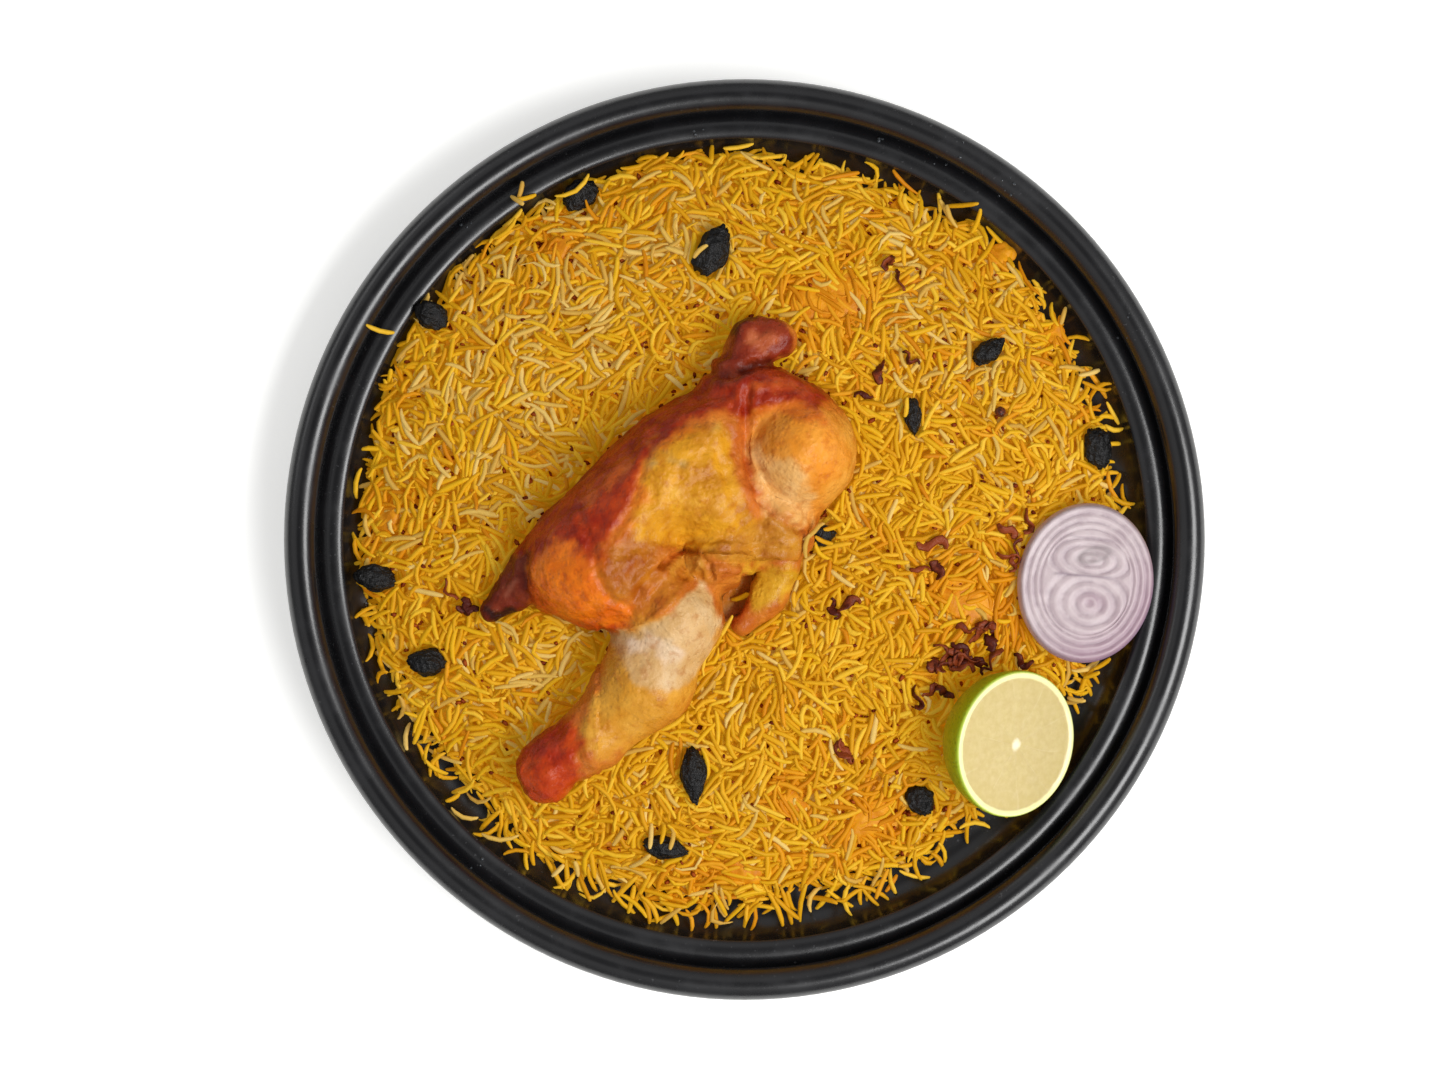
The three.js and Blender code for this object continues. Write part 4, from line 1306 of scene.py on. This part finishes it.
def settleGrain(spots, around, reachUp):
    # tries a few places and keeps the one that lies lowest; returns the grain or nothing
    x, y = spots
    count = len(x)
    heading = np.where(random.random(count) < 0.55,
                       directionField(x, y) + random.normal(0, 0.55, count), random.uniform(-np.pi, np.pi, count))
    if around:
        outward = np.arctan2(y - heap["centre"][1], x - heap["centre"][0])
        heading = outward + random.normal(0, 0.75, count)
    length = np.clip(random.normal(*grain["length"], count), 7, 14.5)
    length = np.where(random.random(count) < 0.12, length * 0.62, length)
    radius = random.normal(*grain["radius"])
    bow = random.normal(0, 1.2, count) + np.where(random.random(count) < 0.25, random.normal(0, 2.4, count), 0)
    middle, slope = restingPlace(x, y, heading, length, bow, radius)
    row, column = cellOf(x, y)
    above = middle - target[row, column]
    k = int((above + 1.5 * np.abs(slope)).argmin())
    if above[k] > reachUp:
        return None
    made = {"x": x[k], "y": y[k], "z": middle[k] - bed["sink"], "heading": heading[k], "slope": slope[k],
            "length": length[k], "radius": radius, "bow": bow[k]}
    return made if clearOfOverhang(made) else None


def clearOfOverhang(made):
    along = sampleAt * made["length"]
    x = made["x"] + along * math.cos(made["heading"])
    y = made["y"] + along * math.sin(made["heading"])
    row, column = cellOf(x, y)
    z = made["z"] + made["slope"] * along
    hits = (z + made["radius"] * 0.6 > under[row, column]) & (z - made["radius"] * 0.4 < over[row, column])
    return not hits.any()


def pressInto(made):
    # raises the ground where the grain lies
    steps = int(made["length"] / 0.45)
    along = np.linspace(-0.5, 0.5, steps) * made["length"]
    share = along / made["length"]
    across = made["bow"] * (4 * share ** 2 - 0.4)
    width = made["radius"] * np.sqrt(np.clip(1 - np.abs(2 * share) ** 3.4, 0.05, 1))
    lanes = np.linspace(-0.95, 0.95, 5)[:, None]
    aside = across + lanes * width
    cos, sin = math.cos(made["heading"]), math.sin(made["heading"])
    row, column = cellOf(made["x"] + along * cos - aside * sin, made["y"] + along * sin + aside * cos)
    top = made["z"] + made["slope"] * along + np.sqrt(1 - lanes ** 2) * width * grain["flatness"]
    np.maximum.at(ground, (row.ravel(), column.ravel()), top.ravel())
    tight = ground[row, column] + bed["headroom"] > under[row, column]
    ground[row[tight], column[tight]] = np.maximum(ground[row[tight], column[tight]], over[row[tight], column[tight]])


def layGrains(count, innerShare, outerShare, around=False, reachUp=None):
    laid = []
    for _ in range(count):
        spots = drawSpots(grain["choices"], innerShare, outerShare)
        made = settleGrain(spots, around, grain["proud"] if reachUp is None else reachUp)
        if made is not None:
            pressInto(made)
            laid.append(made)
    return laid


# Single grains that the photograph shows on the plate, on raisins and by the chicken: place in
# its pixels, heading, length and bow.
looseGrains = [
    (434, 770, -34, 9.2, 1.0), (462, 817, -21, 10.4, 1.8), (486, 833, 22, 10, 2.2), (499, 839, -2, 13.5, 2.0),
    (451, 800, 27, 5.6, 0.4), (557, 873, 45, 6.2, 0.2), (673, 907, -11, 10, 0.3), (576, 871, 100, 6, 0.2),
    (574, 188, 33, 14.5, 2.6), (700, 252, 42, 6.8, -0.6), (505, 229, 41, 11, 1.4), (520, 190, 75, 7, 0.3),
    (525, 197, 15, 8, 0.5), (517, 200, -35, 6, 0), (963, 204, 2, 11.5, 0.3), (952, 215, -65, 9, 0.8),
    (978, 220, 70, 9, 0.6), (1066, 314, 75, 6.5, 0), (1105, 665, 30, 7.5, 0.3), (1079, 701, -10, 6.5, 0.4),
    (1094, 676, 20, 6, 0.2), (812, 531, 50, 9.5, 1.2), (823, 541, -22, 7, 0.6), (805, 546, 82, 8.5, -1),
    (833, 527, 20, 7.5, 0.5), (651, 836, 86, 9, 0.2), (663, 834, 80, 7, 0.3), (673, 839, 74, 7.5, 0.1),
    (905, 408, 88, 7, 0.5), (893, 404, 20, 6.5, 0.8), (820, 552, -50, 8, 1.4), (640, 862, 35, 9, 0.8),
    (1120, 480, 60, 6, 0.3), (1092, 372, 15, 8, 0.4), (380, 330, -15, 10, 0.8), (424, 300, 60, 7, 0.4),
]


def layLooseGrains():
    laid = []
    for px, py, heading, length, bow in looseGrains:
        x, y = fromPhoto(px, py)
        single = [np.array([float(v)]) for v in (x, y, math.radians(heading), length, bow)]
        middle, slope = restingPlace(*single, 0.88)
        made = {"x": x, "y": y, "z": middle[0] - 0.2, "heading": math.radians(heading), "slope": slope[0],
                "length": length, "radius": 0.88, "bow": bow, "kind": "rice_pale" if len(laid) % 2 else "rice_yellow"}
        pressInto(made)
        laid.append(made)
    return laid


def grainMesh(laid):
    # one tapered, bowed grain for each row, as arrays
    get = {key: np.array([row[key] for row in laid])[:, None, None] for key in laid[0]}
    sides, steps = grain["sides"], len(grain["rings"])
    ends = np.array(grain["rings"])
    around = np.linspace(0, 2 * np.pi, sides, endpoint=False)
    share = np.concatenate([[-0.5], np.repeat(ends, sides), [0.5]])[None, :, None]
    angle = np.concatenate([[0], np.tile(around, steps), [0]])[None, :, None]
    body = np.concatenate([[0], np.repeat(grain["girth"], sides), [0]])[None, :, None]
    lean = get["lean"]
    width = get["radius"] * body * (1 + lean * share)
    along = share * get["length"]
    bow = get["bow"] * (4 * share ** 2 - 0.4) + get["hook"] * np.maximum(share - 0.15, 0) ** 2 * 12
    side = bow + width * np.cos(angle + get["roll"])
    thick = width * grain["flatness"] * np.sin(angle + get["roll"])
    rise = get["z"] + get["slope"] * along + thick + get["arch"] * (0.25 - share ** 2) * 3
    cos, sin = np.cos(get["heading"]), np.sin(get["heading"])
    x = get["x"] + along * cos - side * sin
    y = get["y"] + along * sin + side * cos
    places = np.concatenate([x, y, rise], 2)
    ringFaces = []
    for s in range(steps - 1):
        for a in range(sides):
            p, q = 1 + s * sides + a, 1 + s * sides + (a + 1) % sides
            ringFaces += [(p, p + sides, q + sides), (p, q + sides, q)]
    for a in range(sides):
        q = (a + 1) % sides
        ringFaces.append((0, 1 + a, 1 + q))
        last = 1 + (steps - 1) * sides
        ringFaces.append((last + sides, last + q, last + a))
    template = np.array(ringFaces)
    each = places.shape[1]
    triangles = (template[None] + (np.arange(len(laid)) * each)[:, None, None]).reshape(-1, 3)
    along01 = np.broadcast_to(share, (len(laid), each, 1)) + 0.5
    tone = np.broadcast_to(get["tone"], (len(laid), each, 1))
    return places.reshape(-1, 3), triangles, along01.ravel(), tone.ravel()


# Spots of the photograph, in its pixels, where the rice is stained orange or lies pale.
riceStains = {
    "orange": [(830, 300, 46), (970, 600, 44), (870, 820, 42), (560, 240, 26), (1000, 250, 22), (1060, 330, 22),
               (790, 800, 26), (385, 520, 22), (1000, 620, 40), (700, 890, 30)],
    "pale": [(560, 300, 120), (520, 420, 90), (910, 290, 60), (660, 250, 70), (980, 380, 50), (560, 680, 40)],
}


def stain(x, y, kind):
    px = x / photo["mmPerPixel"] + photo["plateAt"][0]
    py = photo["plateAt"][1] - y / photo["mmPerPixel"]
    strength = 0
    for cx, cy, size in riceStains[kind]:
        strength = max(strength, math.exp(-((px - cx) ** 2 + (py - cy) ** 2) / (size * size)))
    return strength


riceKinds = {
    "rice_yellow": {"colours": ("#bd880a", "#cb9a12", "#d4aa32")},
    "rice_golden": {"colours": ("#b98008", "#c7900e", "#cf9c22")},
    "rice_pale": {"colours": ("#b88e3a", "#c49e48", "#d0b064")},
    "rice_orange": {"colours": ("#b87206", "#c48008", "#cc8e1a")},
}


def riceFinish(name, colours):
    deep, main, light = colours
    # emission in each grain's own colour is painted light, standing in for light passed from grain to grain
    husked = Finish(name + "Finish", {
        "IOR": 1.4, "Specular IOR Level": 0.22, "Emission Strength": rice["glow"]})
    tone, along = husked.painted("tone"), husked.painted("along")
    ends = husked.step(abs(along - 0.5), 0.3, 0.5)
    cloud = husked.noise(2.6, 2)
    colour = husked.blend(husked.step(tone + 0.35 * (cloud - 0.5), 0.1, 0.6), deep, main)
    colour = husked.blend(husked.step(tone + 0.5 * (cloud - 0.5), 0.62, 1.0) * 0.8, colour, light)
    colour = husked.blend(ends * 0.35, colour, light)
    height = husked.noise(0.9, 2)
    gloss = 0.45 + 0.2 * cloud
    return husked.wear(Base_Color=colour, Emission_Color=colour, Roughness=gloss, Normal=husked.relief(height, 0.2, 0.4))


def sortGrains(laid):
    # which kind each grain is, and its own tone and shape
    kinds = {name: [] for name in riceKinds}
    for row in laid:
        orange = stain(row["x"], row["y"], "orange")
        pale = stain(row["x"], row["y"], "pale")
        chance = random.random()
        if "kind" in row:
            kind = row.pop("kind")
        elif chance < 0.05 + 0.75 * orange:
            kind = "rice_orange"
        elif chance > 0.93 - 0.35 * pale * (1 - orange):
            kind = "rice_pale"
        else:
            kind = "rice_yellow" if random.random() < 0.52 else "rice_golden"
        row.update(tone=random.random(), lean=random.normal(0, 0.18), roll=random.uniform(0, 6.3),
                   hook=random.normal(0, 1.5) if random.random() < 0.12 else 0.0, arch=random.normal(0, 0.15))
        kinds[kind].append(row)
    return kinds


def makeGrains():
    laid = layGrains(1300, 0.93, 0.985, around=True, reachUp=-2.0)
    laid += layGrains(13500, 0, 0.985)
    laid += layGrains(900, 0.9, 1.0, around=True)
    laid += layGrains(170, 0.995, 1.035, around=True)
    laid += layLooseGrains()
    above = float((ground - target)[(share < 0.95) & ~blocked].mean())
    print("laid", len(laid), "grains; mean surface is", round(above, 2), "mm above the heap's")
    for name, rows in sortGrains(laid).items():
        places, triangles, along, tone = grainMesh(rows)
        piece = fromArrays(name, places, triangles)
        paint(piece, "along", along)
        paint(piece, "tone", tone)
        enter(piece, name, ["rice_bed"], riceFinish(name, riceKinds[name]["colours"]))


makeGrains()

# fried onion shreds, brown specks in the gaps as painted shade, and drops on the rim

fried = {
    # place on the plate in millimetres and how many shreds lie there
    "clumps": [
        (68, -44, 3), (79, -39, 4), (62, -57, 3), (88, -47, 4), (66, -12, 2), (58, -2, 1), (47, 52, 2),
        (95, 3, 3), (38, -80, 2), (-97, -22, 2), (49, 96, 2), (87, -30, 3), (-103, -14, 1), (31, -26, 2),
        (74, -43, 3), (92, -8, 2), (60, 62, 1),
    ],
    "length": (11, 2.5),
    "width": (1.7, 0.4),
    "thickness": 0.4,
    "steps": 11,
    "sides": 6,
    "specks": 420,
}


def groundAt(x, y):
    row, column = cellOf(np.asarray(x, float), np.asarray(y, float))
    return ground[row, column]


def onTopping(x, y):
    row, column = cellOf(x, y)
    return (over[row, column] > 0).any()


def shredPath(x, y):
    # a crumpled line over the rice
    steps = fried["steps"]
    length = max(random.normal(*fried["length"]), 6)
    t = np.linspace(0, 1, steps)
    swing = random.uniform(-2.2, 2.2) * t
    curl = random.uniform(0.5, 1.3)
    swing = swing + curl * np.sin(2 * np.pi * t * random.uniform(0.7, 1.5) + random.uniform(0, 6))
    heading = random.uniform(-np.pi, np.pi) + swing
    across = x + random.normal(0, 2.2) + np.cumsum(np.cos(heading)) * length / steps
    up = y + random.normal(0, 2.2) + np.cumsum(np.sin(heading)) * length / steps
    rest = groundAt(across, up)
    rest = np.minimum(rest, np.median(rest) + 1.5)
    lift = 0.5 + 1.1 * np.abs(np.sin(np.pi * (t * random.uniform(1, 2.2) + random.uniform(0, 1))))
    return np.stack([across, up, np.convolve(np.pad(rest, 1, mode="edge"), [0.25, 0.5, 0.25], "valid") + lift], 1)


def makeShreds():
    # flat twisted ribbons, thicker along one edge
    sides = fried["sides"]
    places, triangles, tones = [], [], []
    around = np.linspace(0, 2 * np.pi, sides, endpoint=False)
    for x, y, count in fried["clumps"]:
        for _ in range(count):
            path = shredPath(x, y)
            while onTopping(path[:, 0], path[:, 1]):
                path = shredPath(x, y)
            steps = len(path)
            forward = np.gradient(path, axis=0)
            forward /= np.linalg.norm(forward, axis=1)[:, None]
            side = np.cross(forward, [0, 0, 1])
            side /= np.linalg.norm(side, axis=1)[:, None]
            rise = np.cross(side, forward)
            twist = random.uniform(0, 6) + np.linspace(0, random.uniform(-3, 3), steps)[:, None]
            flat = np.cos(twist) * side + np.sin(twist) * rise
            thin = np.cos(twist) * rise - np.sin(twist) * side
            taper = np.sin(np.pi * np.linspace(0.1, 0.9, steps)) ** 0.5
            width = max(random.normal(*fried["width"]), 0.7) * taper * random.uniform(0.75, 1.2, steps)
            broad = (width[:, None] * np.cos(around))[..., None]
            slim = ((fried["thickness"] * (1 + 0.5 * np.cos(around)))[None] * np.sin(around))[..., None]
            ring = flat[:, None] * broad + thin[:, None] * slim
            base = sum(len(block) for block in places)
            places.append(np.concatenate([(path[:, None] + ring).reshape(-1, 3), path[:1], path[-1:]]))
            first, last = base + steps * sides, base + steps * sides + 1
            for s in range(steps - 1):
                for a in range(sides):
                    p, q = base + s * sides + a, base + s * sides + (a + 1) % sides
                    triangles += [(p, q, q + sides), (p, q + sides, p + sides)]
            for a in range(sides):
                q = (a + 1) % sides
                triangles += [(first, base + q, base + a), (last, last - 1 - sides + a, last - 1 - sides + q)]
            tones.append(np.full(len(places[-1]), random.random()))
    piece = fromArrays("fried_onion_shreds", np.concatenate(places), np.array(triangles))
    editAll(piece)
    bpy.ops.mesh.normals_make_consistent(inside=False)
    bpy.ops.object.mode_set(mode="OBJECT")
    paint(piece, "tone", np.concatenate(tones))
    crisp = Finish("friedOnionShred", {"IOR": 1.45, "Specular IOR Level": 0.3})
    burn = crisp.noise(2.5, 3)
    burnt = crisp.step(burn + 0.5 * (crisp.painted("tone") - 0.5), 0.3, 0.7)
    colour = crisp.blend(burnt, "#4c1406", "#8a3c18")
    crisp.wear(Base_Color=colour, Roughness=0.38 + 0.25 * burn, Normal=crisp.relief(crisp.noise(0.8, 3), 0.3, 0.8))
    return enter(piece, "fried_onion_shreds", ["rice_bed"], crisp)


def makeGapShadeSpecks():
    # small brown specks, each at the deepest of several places in the gaps between grains: painted shade in the gaps
    belt = [(math.cos(a), math.sin(a), 0) for a in np.linspace(0, 2 * np.pi, 6, endpoint=False)]
    shape = np.array([(0, 0, 0.4), (0, 0, -0.4)] + belt)
    faces = [(0, 2 + a, 2 + (a + 1) % 6) for a in range(6)] + [(1, 2 + (a + 1) % 6, 2 + a) for a in range(6)]
    places, triangles = [], []
    for _ in range(fried["specks"]):
        x, y = drawSpots(14, 0, 0.97)
        row, column = cellOf(x, y)
        depth = ground[row, column] - target[row, column] + np.where(over[row, column] > 0, 9, 0)
        k = int(depth.argmin())
        size = random.uniform(0.7, 1.5)
        turn = random.uniform(0, 6.3)
        crumb = shape * random.uniform(0.7, 1.3, (8, 1)) * [size, size * 0.6, size * 0.8]
        crumb = np.stack([crumb[:, 0] * math.cos(turn) - crumb[:, 1] * math.sin(turn),
                          crumb[:, 0] * math.sin(turn) + crumb[:, 1] * math.cos(turn), crumb[:, 2]], 1)
        triangles += [tuple(len(places) * 8 + v for v in face) for face in faces]
        places.append(crumb + [x[k], y[k], ground[row[k], column[k]] + 0.25])
    piece = fromArrays("gap_shade_specks", np.concatenate(places), np.array(triangles))
    gapShade = Finish("gapShadeBrown", {"IOR": 1.4, "Specular IOR Level": 0.3})
    # the brown of the specks is painted shade between the grains
    colour = gapShade.blend(gapShade.step(gapShade.noise(6, 2), 0.4, 0.6), "#6e2408", "#a0480c")
    gapShade.wear(Base_Color=colour, Roughness=0.5 + 0.2 * gapShade.noise(1, 2))
    return enter(piece, "gap_shade_specks", ["rice_bed"], gapShade)


drops = {
    # over the photograph: middle of each spatter, its spread, and the number of drops
    "spatters": [
        (700, 128, 8, 3), (880, 140, 10, 4), (955, 150, 26, 9), (1004, 190, 16, 6), (1122, 330, 12, 3),
        (470, 862, 14, 3), (470, 225, 12, 4),
    ],
    "radius": (0.3, 0.75),
    "reach": 158,  # no drop hangs over the rim's edge
}


def makeDrops():
    sides = 8
    profile = [(1.0, 0.0), (0.8, 0.42), (0.42, 0.68)]
    places, triangles = [], []
    for px, py, spread, count in drops["spatters"]:
        for _ in range(count):
            x, y = fromPhoto(px + random.normal(0, spread / 2), py + random.normal(0, spread / 2))
            radius = random.uniform(*drops["radius"])
            if math.hypot(x, y) > drops["reach"]:
                continue
            base = sum(len(block) for block in places)
            turn = np.linspace(0, 2 * np.pi, sides, endpoint=False)
            belts = [(radius * reach, radius * rise) for reach, rise in profile]
            ring = [np.stack([x + r * np.cos(turn), y + r * np.sin(turn), 0 * turn + h], 1) for r, h in belts]
            block = np.concatenate([*ring, [[x, y, 0.75 * radius], [x, y, -0.1]]])
            block[:, 2] += plateTop(np.hypot(block[:, 0], block[:, 1])) + 0.02
            places.append(block)
            for s in range(2):
                for a in range(sides):
                    p, q = base + s * sides + a, base + s * sides + (a + 1) % sides
                    triangles += [(p, q, q + sides), (p, q + sides, p + sides)]
            top, under = base + 3 * sides, base + 3 * sides + 1
            for a in range(sides):
                q = (a + 1) % sides
                triangles += [(base + 2 * sides + a, base + 2 * sides + q, top), (base + q, base + a, under)]
    piece = fromArrays("water_drops", np.concatenate(places), np.array(triangles))
    # clear water given a grey colour: painted sheen, so that the drops show as faint grey glints
    water = Finish("waterDrop", {"IOR": 1.33, "Transmission Weight": 0.35})
    water.wear(Base_Color=water.blend(water.noise(2), "#3c3e42", "#5c6064"), Roughness=0.05 + 0.06 * water.noise(1))
    return enter(piece, "water_drops", ["plate"], water)


makeShreds()
makeGapShadeSpecks()
makeDrops()
